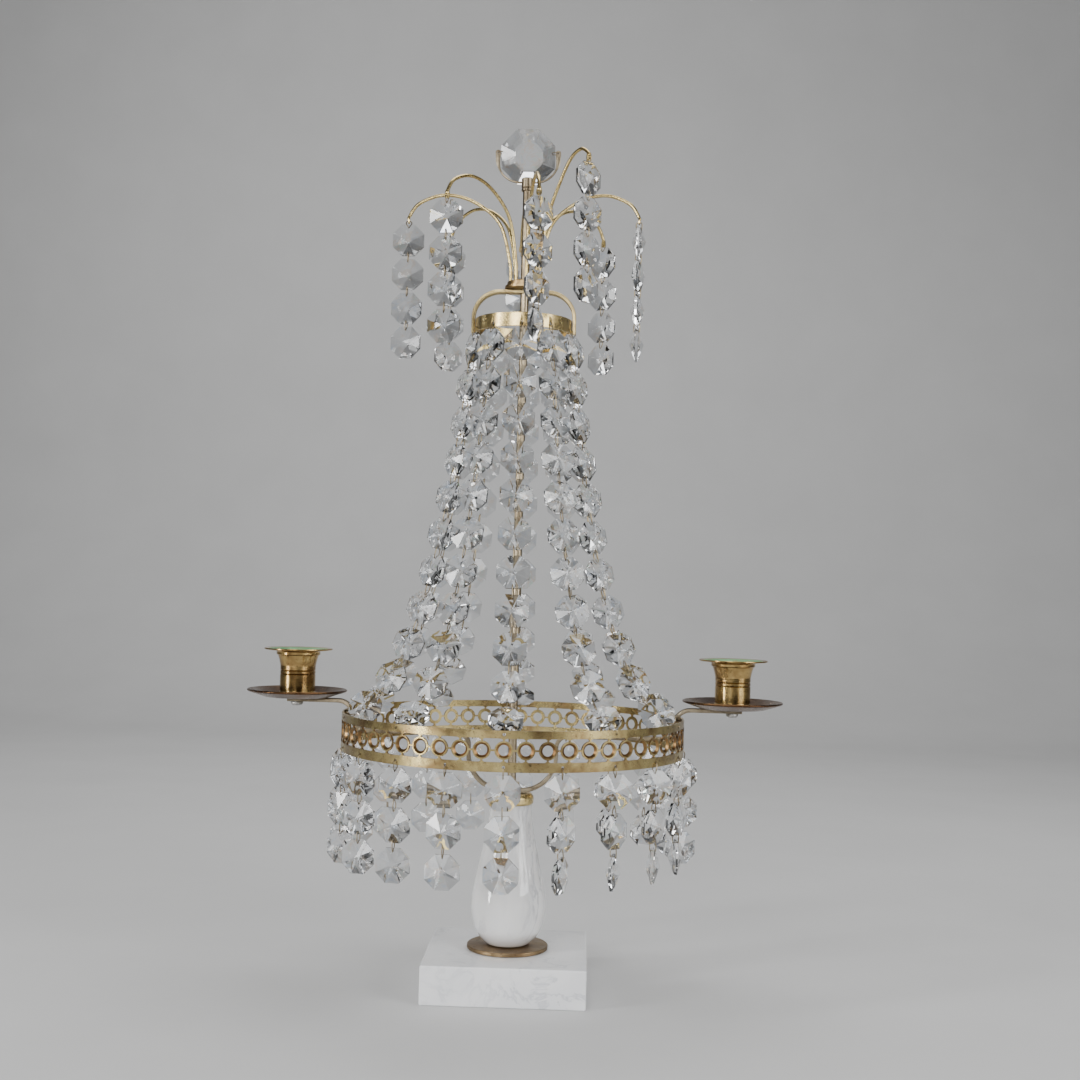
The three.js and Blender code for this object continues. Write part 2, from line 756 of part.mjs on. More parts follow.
// A strand that hangs free on a wire loop through a hole
function hangingStrand(hole, hang, pitch, turns, bearing) {
  const stations = turns.map((turn, crystal) => (
    station(hole.radius, hole.height - hang - crystal * pitch, 0, turn)
  ));
  const leg = loopInside + wire / 2;
  const loopBottom = hole.height - hang + loopFootShare * crystalFlats;
  const loop = bent([[leg, loopBottom], [leg, hole.height], [-leg, hole.height], [-leg, loopBottom]]
    .map(([x, y]) => new THREE.Vector2(hole.radius + x, y)), wire, wire);
  return onBearing(joined([strandGeometry(stations), loop]), bearing);
}

// A chain of a known length that hangs between two points: its catenary,
// as a function of the length from the top
function catenary(top, bottom, length) {
  const span = bottom.radius - top.radius;
  const drop = top.height - bottom.height;
  const wanted = Math.sqrt(length ** 2 - drop ** 2) / span;
  let low = 0;
  let high = 1;
  while (Math.sinh(high) / high < wanted) high *= 2;
  for (let halving = 0; halving < curveHalvings; halving += 1) {
    const middle = (low + high) / 2;
    if (Math.sinh(middle) / middle < wanted) low = middle;
    else high = middle;
  }
  const scale = span / (2 * low);
  const start = Math.atanh(drop / length) + low;
  return (along) => {
    const here = Math.asinh(Math.sinh(start) - along / scale);
    return {
      radius: top.radius + scale * (start - here),
      height: top.height - scale * (Math.cosh(start) - Math.cosh(here)),
      slope: quarterTurn - Math.atan(Math.sinh(here)),
    };
  };
}

// A long strand, hooked into the small ring at its top and into the gallery's upper rim at its foot
function longStrand(bearing) {
  const hookRadius = smallRingRadius + seatGap + wire / 2;
  const length = 2 * longHang + (longCrystalCount - 1) * longPitch;
  const curve = catenary({ radius: hookRadius, height: smallRingHoleHeight },
    { radius: galleryMiddleRadius, height: upperHoleHeight }, length);
  const facings = [longTopShare, longFootShare].map((share) => bearing - share * offAxis(bearing));
  const stations = turnsOf(bearing, facings, longCrystalCount).map((turn, crystal) => {
    const { radius, height, slope } = curve(longHang + crystal * longPitch);
    return station(radius, height, slope, turn);
  });
  const sunk = crystalFlats / 2 - hookSink;
  const seat = ({ middle, up }, sign) => (
    new THREE.Vector2(middle.x + sign * sunk * up.x, middle.z + sign * sunk * up.z)
  );
  const topHook = bent([
    new THREE.Vector2(smallRingRadius - smallRingWall - hookTip, smallRingHoleHeight),
    new THREE.Vector2(hookRadius, smallRingHoleHeight),
    seat(stations[0], 1),
  ], wire, wire);
  const footHook = bent([
    seat(stations[longCrystalCount - 1], -1),
    new THREE.Vector2(galleryRadius - galleryWall - hookTip, upperHoleHeight),
    new THREE.Vector2(galleryRadius + hookTip, upperHoleHeight),
  ], wire, wire);
  return onBearing(joined([strandGeometry(stations), topHook, footHook]), bearing);
}

evenBearings(longStrandCount).forEach((bearing, strand) => {
  add(`long_strand_${strand + 1}`, 'crystal', longStrand(bearing));
});
armAngles.forEach((bearing, strand) => {
  const turns = turnsOf(bearing, sprayFacingAngles[strand], sprayCrystalCount);
  add(`spray_strand_${strand + 1}`, 'crystal',
    hangingStrand(tipHole(sharesOf(strand)), sprayHang, sprayPitch, turns, bearing));
});
evenBearings(galleryStrandCount).forEach((bearing, strand) => {
  const lowerHole = { radius: galleryMiddleRadius, height: lowerHoleHeight };
  const first = bearing - galleryShare * offAxis(bearing);
  const last = first + (Math.sin(radians(bearing)) > galleryTwistFrom ? galleryTwistAngle : 0);
  const turns = turnsOf(bearing, [first, last], galleryCrystalCount);
  add(`gallery_strand_${strand + 1}`, 'crystal',
    hangingStrand(lowerHole, galleryHang, galleryPitch, turns, bearing));
});

export default candelabrum;
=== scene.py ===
"""A two-light table candelabrum of brass, marble and cut octagons on a pale studio floor.

Lengths are in millimetres until a mesh is made, and MM turns them into metres.
A bearing is an angle from the front, -Y, towards +X.
"""

import json
import math

import bmesh
import bpy
from mathutils import Matrix, Vector

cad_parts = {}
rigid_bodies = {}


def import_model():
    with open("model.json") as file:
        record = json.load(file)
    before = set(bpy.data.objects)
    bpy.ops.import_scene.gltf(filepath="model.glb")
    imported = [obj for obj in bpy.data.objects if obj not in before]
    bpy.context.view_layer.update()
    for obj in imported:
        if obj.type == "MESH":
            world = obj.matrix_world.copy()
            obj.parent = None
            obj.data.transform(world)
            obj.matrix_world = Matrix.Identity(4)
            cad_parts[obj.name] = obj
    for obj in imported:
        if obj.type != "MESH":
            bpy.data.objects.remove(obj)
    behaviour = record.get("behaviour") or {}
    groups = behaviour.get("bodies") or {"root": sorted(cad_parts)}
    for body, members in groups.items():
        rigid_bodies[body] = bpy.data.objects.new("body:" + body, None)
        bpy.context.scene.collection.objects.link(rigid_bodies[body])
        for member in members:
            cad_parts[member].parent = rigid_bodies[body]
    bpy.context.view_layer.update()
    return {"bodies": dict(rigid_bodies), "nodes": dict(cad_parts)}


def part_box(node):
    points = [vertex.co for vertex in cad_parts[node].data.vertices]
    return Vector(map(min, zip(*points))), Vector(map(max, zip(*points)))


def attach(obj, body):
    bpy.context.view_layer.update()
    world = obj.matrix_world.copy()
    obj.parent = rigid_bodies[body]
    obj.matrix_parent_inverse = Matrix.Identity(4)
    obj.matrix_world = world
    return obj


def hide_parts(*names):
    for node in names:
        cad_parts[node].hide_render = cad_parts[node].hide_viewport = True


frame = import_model()

MM = 0.001
FULL = 2 * math.pi
UP = Vector((0, 0, 1))

# Smoothness
ROUND_SIDES = 96
WIRE_SIDES = 10
ARC_STEPS = 10
SPLINE_STEPS = 8
CREASE = math.radians(32)
FACET_CREASE = math.radians(4)
BLOCK_CREASE = math.radians(5)
RIB_CREASE = math.radians(50)
WELD = 1e-3

# Sizes that the frame's boxes don't give
CLEARANCE = 0.3
OVERRUN = 2.0
ROD_RADIUS = 3.0
BORE_RADIUS = 3.25
BLOCK_EDGE = 1.1
BLOCK_EDGE_STEPS = 6
COUNTERBORE_RADIUS = 12.0
COUNTERBORE_DEPTH = 10.0
FOOT_RIBS = 176
FOOT_RIB_DEPTH = 0.14
BAR_THICKNESS = 2.8
BAR_WIDTH = 7.0
BAR_EDGE = 0.5
CANDLE_REACH = 152.0
ARM_DROP = 112.0
DIP_HALF_WIDTH = 30.6
DIP_SEAT = 6.0
DIP_DEPTH = 38.5
ARM_BEND = 11.0
DIP_BEND = 8.0
STUD_RADIUS = 2.0
GALLERY_RADIUS = 118.6
GALLERY_WALL = 1.3
GALLERY_TOP_RIM = 4.9
GALLERY_BOTTOM_RIM = 6.1
CIRCLES = 54
CIRCLE_HOLE = 3.4
CIRCLE_MOUTH = 4.8
CIRCLE_RIM = 5.75
FRET_BAR = 1.1
FRET_TIP = 0.55
STRAND_HOLE = 1.0
DRILL_SIDES = 16
PAN_FLOOR = 22.0
PAN_THICKNESS = 1.2
PAN_HOLE = 2.3
SOCKET_FOOT = 12.7
SOCKET_BODY = 12.3
SOCKET_BORE = 11.2
SOCKET_FLOOR = 4.0
SOCKET_THROAT = 14.4
SOCKET_FUNNEL = 6.5
SOCKET_BRIM = 3.4
SOCKET_LINES = (14.6, 17.1)
SOCKET_LINE_DEPTH = 0.35
SCREW_SHANK = 2.0
SCREW_HEAD = 2.4
SMALL_RING_RADIUS = 33.9
SMALL_RING_WALL = 1.2
SMALL_RING_HOLE = 2.85
SMALL_RING_EDGE = 0.2
SMALL_RING_SIDES = 120
BOW_THICKNESS = 2.6
BOW_CORNER = 18.7
BOW_EDGE = 0.5
LONG_STRANDS = 10
GALLERY_STRANDS = 20
HUB_RADIUS = 14.0
HUB_HEIGHT = 5.2
HUB_STEP = 2.4
HUB_STEP_RADIUS = 12.4
ARM_CIRCLE = 10.2
ARM_REACH = 70.8
ARM_HEIGHT = 61.3
ARM_WIRE = 1.2
ARM_SHARES = [
    (0, 0), (0.012, 0.24), (0.12, 0.68), (0.38, 0.93), (0.66, 1), (0.9, 0.9), (1, 0.74),
]
RAISED_ARM_SHARES = [
    (0, 0), (0.13, 0.36), (0.21, 0.72), (0.39, 1.07), (0.54, 1.28), (0.69, 1.34), (0.8, 1.26),
]
ARM_BEARINGS = [8, 40, 84, 137, 185, 226, 270, 324]
ARM_REACH_SHARES = [1, 1, 0.98, 1, 1, 1, 1.03, 1.05]
RAISED_ARM = 1
TIP_LENGTH = 7.4
TIP_WIDTH = 3.7
TIP_THICKNESS = 1.0
TIP_HOLE_SHARE = 0.25
TIP_HOLE = 0.65
TIP_FLAT_STEPS = 9
HOLE_SIDES = 20
FERRULE_RADIUS = 4.2
STIRRUP_HALF_WIDTH = 21.3
STIRRUP_CORNER = 15.5
STIRRUP_WIRE = 1.9
EAR_RADIUS = 1.9
EAR_HEIGHT = 21.0
EAR_THICKNESS = 1.2
EAR_DROP = 2.6

# The octagons
CRYSTAL_FLATS = 22.0
CRYSTAL_THICKNESS = 10.0
CRYSTAL_GIRDLE = 1.9
CRYSTAL_HOLE_INSET = 2.6
LINK_WIRE = 0.36
LINK_HALF_WIDTH = 2.1
LINK_STEPS = 20
LINK_SIDES = 8
LINK_SQUARENESS = 0.7
GEM_FLATS = 38.0
GEM_TABLE = 17.0
GEM_THICKNESS = 12.0
GEM_GIRDLE = 1.6
GEM_HANG = 0.07 * GEM_FLATS
GEM_SWING = math.radians(34)
GEM_HOLE_INSET = 2.4
GEM_RING_HALF_WIDTH = 1.5

# Strands
LONG_COUNT, LONG_PITCH, LONG_HANG = 11, 26.2, 15.8
GALLERY_COUNT, GALLERY_PITCH, GALLERY_HANG = 3, 25.3, 15.8
SPRAY_COUNT, SPRAY_PITCH, SPRAY_HANG = 4, 24.2, 13.7
STRAND_SWAY = 6.0
LONG_TOP_SHARE, LONG_FOOT_SHARE = 0.25, 0.8
SPRAY_FACINGS = [
    (30, 62), (42, 42), (80, 82), (145, 150), (175, 190), (205, 215), (360, 345), (355, 352),
]
GALLERY_SHARE, GALLERY_TWIST, GALLERY_TWIST_FROM = 0.6, 60.0, 0.2

# Camera: where the photograph was taken from, and the turns that place the object in the picture
CAMERA_DISTANCE = 1000.0
CAMERA_BEARING = 2.6
CAMERA_HEIGHT = 276.0
CAMERA_PAN = 0.88
CAMERA_PITCH = 1.92
CAMERA_ROLL = 1.5
CAMERA_LENS = 47.6
CAMERA_SENSOR = 36.0


def node_span(node):
    """Lowest and highest corner of a CAD node in millimetres."""
    low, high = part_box(node)
    return Vector(low) / MM, Vector(high) / MM


def radial(bearing):
    angle = math.radians(bearing)
    return Vector((math.sin(angle), -math.cos(angle), 0))


def lerp(a, b, share):
    return a + (b - a) * share


# Meshes
def make_object(name, mesh, material, body, node=None, crease=CREASE):
    """A mesh in millimetres becomes a shaded object in metres that rides on a body and may replace a node."""
    bmesh.ops.recalc_face_normals(mesh, faces=mesh.faces)
    if mesh.calc_volume(signed=True) < 0:
        bmesh.ops.reverse_faces(mesh, faces=mesh.faces)
    for face in mesh.faces:
        face.smooth = True
    for edge in mesh.edges:
        edge.smooth = len(edge.link_faces) == 2 and edge.calc_face_angle(FULL) < crease
    bmesh.ops.scale(mesh, vec=(MM, MM, MM), verts=mesh.verts)
    data = bpy.data.meshes.new(name)
    mesh.to_mesh(data)
    mesh.free()
    data.materials.append(material)
    piece = bpy.data.objects.new(name, data)
    bpy.context.scene.collection.objects.link(piece)
    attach(piece, body)
    if node:
        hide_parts(node)
    return piece


def rounded(corners):
    """A 2D route through corners (x, y, radius), with an arc at each corner that has a radius."""
    route = []
    count = len(corners)
    for index, (x, y, radius) in enumerate(corners):
        here = Vector((x, y))
        if not radius:
            route.append(here)
            continue
        before = corners[index - 1]
        after = corners[(index + 1) % count]
        back = (Vector(before[:2]) - here).normalized()
        ahead = (Vector(after[:2]) - here).normalized()
        half = math.acos(max(-1, min(1, back.dot(ahead)))) / 2
        centre = here + (back + ahead).normalized() * radius / math.sin(half)
        start = here + back * radius / math.tan(half) - centre
        end = here + ahead * radius / math.tan(half) - centre
        sweep = math.atan2(start.x * end.y - start.y * end.x, start.dot(end))
        for step in range(ARC_STEPS + 1):
            turn = Matrix.Rotation(sweep * step / ARC_STEPS, 2)
            route.append(centre + turn @ start)
    return route


def turned(mesh, profile, sides=ROUND_SIDES, centre=(0, 0)):
    """Adds a profile of (radius, height) points turned round an upright axis."""
    rings = []
    for radius, height in profile:
        if radius == 0:
            rings.append([mesh.verts.new((centre[0], centre[1], height))])
            continue
        rings.append([
            mesh.verts.new((
                centre[0] + radius * math.cos(FULL * k / sides),
                centre[1] + radius * math.sin(FULL * k / sides),
                height,
            ))
            for k in range(sides)
        ])
    for first, second in zip(rings, rings[1:] + rings[:1]):
        for k in range(sides):
            corners = [
                first[k % len(first)],
                first[(k + 1) % sides % len(first)],
                second[(k + 1) % sides % len(second)],
                second[k % len(second)],
            ]
            corners = list(dict.fromkeys(corners))
            if len(corners) > 2:
                mesh.faces.new(corners)
    return mesh


def lathe(name, profile, material, body, node, centre=(0, 0), sides=ROUND_SIDES):
    return make_object(name, turned(bmesh.new(), profile, sides, centre), material, body, node)


def section_circle(radius, sides=WIRE_SIDES):
    return [(radius * math.cos(FULL * k / sides), radius * math.sin(FULL * k / sides)) for k in range(sides)]


def section_strip(thickness, width, edge):
    """A flat strip's cross-section: thickness lies in the plane of the route, width across it."""
    x, y = thickness / 2, width / 2
    corners = [(x, -y, edge), (x, y, edge), (-x, y, edge), (-x, -y, edge)]
    return [(p.x, p.y) for p in rounded(corners)][:: ARC_STEPS // 2]


def swept(mesh, points, section, first_normal=None, closed=False, stretches=None):
    """Adds a section carried along 3D points, without twist. A stretch flattens it at a point: (u, v)."""
    points = [Vector(p) for p in points]
    count = len(points)
    tangents = []
    for index in range(count):
        before = points[index - 1] if closed or index else points[index]
        after = points[(index + 1) % count] if closed or index < count - 1 else points[index]
        tangents.append((after - before).normalized())
    normal = Vector(first_normal) if first_normal else tangents[0].orthogonal()
    rings = []
    for point, tangent, (wide, deep) in zip(points, tangents, stretches or [(1, 1)] * count):
        normal = (normal - tangent * normal.dot(tangent)).normalized()
        across = tangent.cross(normal)
        rings.append([mesh.verts.new(point + normal * u * wide + across * v * deep) for u, v in section])
    pairs = list(zip(rings, rings[1:]))
    if closed:
        pairs.append((rings[-1], rings[0]))
    size = len(section)
    for first, second in pairs:
        for k in range(size):
            mesh.faces.new((first[k], first[(k + 1) % size], second[(k + 1) % size], second[k]))
    if not closed:
        mesh.faces.new(rings[0][::-1])
        mesh.faces.new(rings[-1])
    return mesh


def filled(loops):
    """Triangles that fill a flat outline with holes."""
    flat = bmesh.new()
    edges = []
    for loop in loops:
        corners = [flat.verts.new((x, y, 0)) for x, y in loop]
        edges += [flat.edges.new((a, b)) for a, b in zip(corners, corners[1:] + corners[:1])]
    bmesh.ops.triangle_fill(flat, use_beauty=True, edges=edges)
    faces = [[tuple(corner.co.xy) for corner in face.verts] for face in flat.faces]
    flat.free()
    return faces


def plate(mesh, outline, hole, placed):
    """Adds a flat plate with a hole. placed turns (x, y, side) into a point, where side is 0 or 1."""
    loops = [[tuple(p) for p in outline], hole]
    made = []

    def face(corners):
        made.extend(mesh.verts.new(placed(*corner)) for corner in corners)
        mesh.faces.new(made[-len(corners):])

    for side in (0, 1):
        for corners in filled(loops):
            face([(x, y, side) for x, y in corners])
    for loop in loops:
        for (x, y), (u, v) in zip(loop, loop[1:] + loop[:1]):
            face([(x, y, 0), (u, v, 0), (u, v, 1), (x, y, 1)])
    bmesh.ops.remove_doubles(mesh, verts=made, dist=WELD)


def in_plane(route):
    """A 2D route becomes points in the XZ plane."""
    return [Vector((p.x, 0, p.y)) for p in route]


def spline(points, steps):
    """A smooth curve through 2D points, by Catmull and Rom's rule."""
    points = [Vector(p) for p in points]
    curve = []
    last = len(points) - 2
    for index in range(last + 1):
        a, b, c, d = (points[max(0, min(len(points) - 1, index + k))] for k in (-1, 0, 1, 2))
        for step in range(steps + (index == last)):
            t = step / steps
            curve.append(
                0.5 * (
                    2 * b + (c - a) * t + (2 * a - 5 * b + 4 * c - d) * t * t + (3 * b - 3 * c + d - a) * t ** 3
                )
            )
    return curve


def drilled(piece, drills):
    """Cuts a mesh of drills out of a piece, then keeps only the result."""
    data = bpy.data.meshes.new("drills")
    bmesh.ops.recalc_face_normals(drills, faces=drills.faces)
    bmesh.ops.scale(drills, vec=(MM, MM, MM), verts=drills.verts)
    drills.to_mesh(data)
    drills.free()
    tool = bpy.data.objects.new("drills", data)
    bpy.context.scene.collection.objects.link(tool)
    cut = piece.modifiers.new("cut", "BOOLEAN")
    cut.operation = "DIFFERENCE"
    cut.solver = "EXACT"
    cut.object = tool
    graph = bpy.context.evaluated_depsgraph_get()
    result = bpy.data.meshes.new_from_object(piece.evaluated_get(graph))
    piece.modifiers.clear()
    piece.data = result
    bpy.data.objects.remove(tool)
    return piece


# Materials
def new_material(name):
    material = bpy.data.materials.new(name)
    material.use_nodes = True
    tree = material.node_tree
    return material, tree, tree.nodes["Principled BSDF"]


def noise(tree, scale, detail=4.0, roughness=0.55, distortion=0.0, stretch=(1, 1, 1)):
    """Noise over the object's own coordinates, which are metres, stretched by a factor for each axis."""
    coordinates = tree.nodes.new("ShaderNodeTexCoord")
    mapping = tree.nodes.new("ShaderNodeMapping")
    mapping.inputs["Scale"].default_value = stretch
    tree.links.new(coordinates.outputs["Object"], mapping.inputs["Vector"])
    texture = tree.nodes.new("ShaderNodeTexNoise")
    texture.inputs["Scale"].default_value = scale
    texture.inputs["Detail"].default_value = detail
    texture.inputs["Roughness"].default_value = roughness
    texture.inputs["Distortion"].default_value = distortion
    tree.links.new(mapping.outputs["Vector"], texture.inputs["Vector"])
    return texture.outputs["Fac"]


def ramp(tree, value, stops):
    """Colours, or greys given as single numbers, at places between 0 and 1."""
    node = tree.nodes.new("ShaderNodeValToRGB")
    elements = node.color_ramp.elements
    while len(elements) < len(stops):
        elements.new(0.5)
    for element, (place, colour) in zip(elements, stops):
        element.position = place
        element.color = (*colour, 1) if isinstance(colour, tuple) else (colour, colour, colour, 1)
    tree.links.new(value, node.inputs["Fac"])
    return node.outputs["Color"]


def mixed(tree, share, first, second):
    node = tree.nodes.new("ShaderNodeMix")
    node.data_type = "RGBA"
    tree.links.new(share, node.inputs["Factor"])
    for source, socket in ((first, node.inputs["A"]), (second, node.inputs["B"])):
        if isinstance(source, tuple):
            socket.default_value = (*source, 1)
        else:
            tree.links.new(source, socket)
    return node.outputs["Result"]


def bump(tree, shader, height, strength, distance):
    node = tree.nodes.new("ShaderNodeBump")
    node.inputs["Strength"].default_value = strength
    node.inputs["Distance"].default_value = distance
    tree.links.new(height, node.inputs["Height"])
    tree.links.new(node.outputs["Normal"], shader.inputs["Normal"])


def brass_material(name, bright, dull, stain, dull_from, roughness, lathe_marks=0.0):
    """Brass that has toned in clouds, with dark stains, fine scratches and, where turned, faint rings."""
    material, tree, shader = new_material(name)
    clouds = ramp(tree, noise(tree, 48, 7, 0.62, 0.5), [(dull_from, 0.0), (dull_from + 0.22, 1.0)])
    spots = ramp(tree, noise(tree, 330, 4, 0.7), [(0.58, 0.0), (0.7, 1.0)])
    colour = mixed(tree, clouds, bright, dull)
    colour = mixed(tree, spots, colour, stain)
    shader.inputs["Metallic"].default_value = 1.0
    tree.links.new(colour, shader.inputs["Base Color"])
    rough = ramp(tree, noise(tree, 90, 6, 0.6, 0.4), [(0.35, roughness), (0.75, roughness + 0.18)])
    tree.links.new(rough, shader.inputs["Roughness"])
    relief = noise(tree, 900, 5, 0.7)
    if lathe_marks:
        rings = noise(tree, 1, 3, 0.6, 0, (0, 0, 1500))
        relief = mixed(tree, ramp(tree, relief, [(0, lathe_marks), (1, lathe_marks)]), relief, rings)
    bump(tree, shader, relief, 0.16, 0.0002)
    return material


def verdigris_material(name):
    """Pale green bloom inside a candle socket, thin enough in places for the brass to show."""
    material, tree, shader = new_material(name)
    bloom = ramp(tree, noise(tree, 170, 6, 0.7), [(0.32, 0.0), (0.5, 1.0)])
    shades = ramp(tree, noise(tree, 90, 4), [(0.3, (0.10, 0.30, 0.12)), (0.7, (0.30, 0.55, 0.28))])
    tree.links.new(mixed(tree, bloom, (0.24, 0.19, 0.08), shades), shader.inputs["Base Color"])
    shader.inputs["Metallic"].default_value = 0.3
    shader.inputs["Roughness"].default_value = 0.55
    bump(tree, shader, bloom, 0.25, 0.0003)
    return material


def stone_material(name, ground, cloud, vein, scale, roughness, depth, coat=0.0, stretch=(1, 1, 1)):
    """Polished white stone with soft grey clouds, and veins inside some of them."""
    material, tree, shader = new_material(name)
    soft = ramp(tree, noise(tree, scale, 6, 0.55, 0.9, stretch), [(0.46, 0.0), (0.72, 1.0)])
    veins = ramp(tree, noise(tree, scale * 1.7, 8, 0.6, 1.2, stretch), [(0.47, 0.0), (0.5, 1.0), (0.54, 0.0)])
    within = ramp(tree, noise(tree, scale * 0.8, 3, 0.5, 0.4, stretch), [(0.45, 0.0), (0.6, 0.85)])
    share = tree.nodes.new("ShaderNodeMath")
    share.operation = "MULTIPLY"
    tree.links.new(veins, share.inputs[0])
    tree.links.new(within, share.inputs[1])
    colour = mixed(tree, soft, ground, cloud)
    colour = mixed(tree, share.outputs["Value"], colour, vein)
    tree.links.new(colour, shader.inputs["Base Color"])
    wear = ramp(tree, noise(tree, 260, 5, 0.7), [(0.4, roughness), (0.8, roughness + 0.15)])
    tree.links.new(wear, shader.inputs["Roughness"])
    shader.inputs["Coat Weight"].default_value = coat
    shader.inputs["Subsurface Weight"].default_value = 0.25
    shader.inputs["Subsurface Radius"].default_value = (1.0, 0.9, 0.8)
    shader.inputs["Subsurface Scale"].default_value = depth
    bump(tree, shader, noise(tree, 500, 4, 0.6), 0.04, 0.0002)
    return material


def glass_material(name, tint, ior):
    """Clear cut glass with the faintest grease and dust on it, and thin bands of blue, orange and green painted
    in for the rainbow flashes of dispersed light.
    """
    material, tree, shader = new_material(name)
    shader.inputs["Transmission Weight"].default_value = 1.0
    shader.inputs["IOR"].default_value = ior
    # Painted light: the narrow blue, orange and green bands in the base colour are painted rainbow flashes. The
    # rest of the ramp is the glass's own faint tint.
    tint_and_painted_fire = ramp(tree, noise(tree, 95, 2, 0.5, 0.6), [
        (0.0, tint), (0.33, tint), (0.355, (0.70, 0.82, 1.0)), (0.38, tint),
        (0.6, tint), (0.625, (1.0, 0.80, 0.62)), (0.65, tint), (0.69, (0.80, 0.96, 0.86)), (0.72, tint),
    ])
    tree.links.new(tint_and_painted_fire, shader.inputs["Base Color"])
    film = ramp(tree, noise(tree, 120, 4, 0.6), [(0.45, 0.0), (0.8, 0.06)])
    tree.links.new(film, shader.inputs["Roughness"])
    return material


def steel_material(name):
    material, tree, shader = new_material(name)
    colour = ramp(tree, noise(tree, 200, 4), [(0.3, (0.34, 0.33, 0.31)), (0.7, (0.52, 0.51, 0.49))])
    tree.links.new(colour, shader.inputs["Base Color"])
    shader.inputs["Metallic"].default_value = 1.0
    shader.inputs["Roughness"].default_value = 0.38
    bump(tree, shader, noise(tree, 1200, 3), 0.1, 0.0001)
    return material


def floor_material():
    material, tree, shader = new_material("studio_floor")
    colour = ramp(tree, noise(tree, 6, 3), [(0.3, (0.60, 0.60, 0.598)), (0.7, (0.63, 0.63, 0.628))])
    tree.links.new(colour, shader.inputs["Base Color"])
    shader.inputs["Roughness"].default_value = 0.9
    return material


BRASS = brass_material("brass", (0.68, 0.53, 0.24), (0.38, 0.27, 0.11), (0.14, 0.08, 0.03), 0.47, 0.2)
GALLERY = brass_material(
    "gallery_brass", (0.52, 0.42, 0.19), (0.27, 0.18, 0.08), (0.09, 0.06, 0.03), 0.42, 0.2
)
TURNED = brass_material(
    "turned_brass", (0.54, 0.38, 0.15), (0.27, 0.16, 0.06), (0.08, 0.04, 0.02), 0.42, 0.14, 0.75
)
SATIN = brass_material("satin_brass", (0.52, 0.41, 0.20), (0.31, 0.23, 0.11), (0.11, 0.08, 0.04), 0.42, 0.28)
PIERCING_WALL_BRASS = brass_material("aged_brass", (0.36, 0.22, 0.09), (0.18, 0.10, 0.04), (0.06, 0.03, 0.02), 0.38, 0.28)
# A darker brass that the gallery puts on the side walls of its piercings.
FOOT = brass_material("foot_brass", (0.31, 0.22, 0.12), (0.17, 0.11, 0.06), (0.06, 0.04, 0.02), 0.42, 0.3)
# Painted reflection: the pans' brass is painted near black to stand for the dark surroundings that their tops
# reflect.
PAN_PAINTED_DARK = brass_material("pan_brass_painted_dark", (0.15, 0.08, 0.035), (0.08, 0.04, 0.02), (0.03, 0.02, 0.01), 0.4, 0.22)
HUB = brass_material("hub_brass", (0.40, 0.28, 0.13), (0.26, 0.16, 0.07), (0.08, 0.05, 0.02), 0.42, 0.26)
DULL = brass_material("dull_brass", (0.32, 0.27, 0.19), (0.18, 0.14, 0.09), (0.07, 0.05, 0.03), 0.42, 0.34)
ROD = brass_material("rod_brass", (0.34, 0.28, 0.19), (0.18, 0.14, 0.09), (0.07, 0.05, 0.03), 0.44, 0.26, 0.4)
GREEN = verdigris_material("verdigris")
STEEL = steel_material("steel")
MARBLE = stone_material(
    "marble", (0.87, 0.873, 0.882), (0.75, 0.76, 0.78), (0.58, 0.59, 0.62), 14, 0.14, 0.004
)
ALABASTER = stone_material(
    "alabaster", (0.85, 0.845, 0.835), (0.66, 0.66, 0.68), (0.42, 0.42, 0.45), 20, 0.04, 0.003, 0.8,
    (1, 1, 0.45),
)
GLASS = glass_material("cut_glass", (0.955, 0.965, 0.975), 1.55)
WIRE = brass_material("link_wire", (0.34, 0.28, 0.18), (0.18, 0.14, 0.09), (0.07, 0.05, 0.03), 0.42, 0.3)


# The stand
def make_base():
    low, high = node_span("base")
    mesh = bmesh.new()
    block = bmesh.ops.create_cube(mesh, size=1.0)
    bmesh.ops.scale(mesh, vec=high - low, verts=block["verts"])
    bmesh.ops.translate(mesh, vec=(low + high) / 2, verts=block["verts"])
    bmesh.ops.bevel(
        mesh, geom=mesh.edges[:], offset=BLOCK_EDGE, segments=BLOCK_EDGE_STEPS, profile=0.5, affect="EDGES"
    )
    piece = make_object("base_block", mesh, MARBLE, "stand", "base", BLOCK_CREASE)
    drills = turned(bmesh.new(), [
        (0, -OVERRUN), (COUNTERBORE_RADIUS, -OVERRUN), (COUNTERBORE_RADIUS, COUNTERBORE_DEPTH),
        (BORE_RADIUS, COUNTERBORE_DEPTH), (BORE_RADIUS, high.z + OVERRUN), (0, high.z + OVERRUN),
    ], 48)
    drilled(piece, drills)
    for node in ("base_nut", "base_washer"):
        frame["nodes"][node].data.materials.clear()
        frame["nodes"][node].data.materials.append(STEEL)


def make_foot_disc():
    """A disc with a finely ribbed edge."""
    low, high = node_span("foot_disc")
    profile = rounded([
        (BORE_RADIUS, low.z, 0), (high.x, low.z, 0.3), (high.x, high.z, 0.45), (BORE_RADIUS, high.z, 0),
    ])
    mesh = turned(bmesh.new(), [tuple(p) for p in profile], 2 * FOOT_RIBS)
    for corner in mesh.verts:
        rib = round(math.atan2(corner.co.y, corner.co.x) / FULL * 2 * FOOT_RIBS)
        if rib % 2 and corner.co.xy.length > high.x - 0.05:
            corner.co.xy *= 1 - FOOT_RIB_DEPTH / high.x
    make_object("foot_disc_turned", mesh, FOOT, "stand", "foot_disc", RIB_CREASE)


VASE_SHARES = [(0.44, 0), (0.6, 0.012), (0.84, 0.085), (0.96, 0.175), (1, 0.28), (0.93, 0.44), (0.77, 0.63),
               (0.62, 0.83), (0.555, 1)]


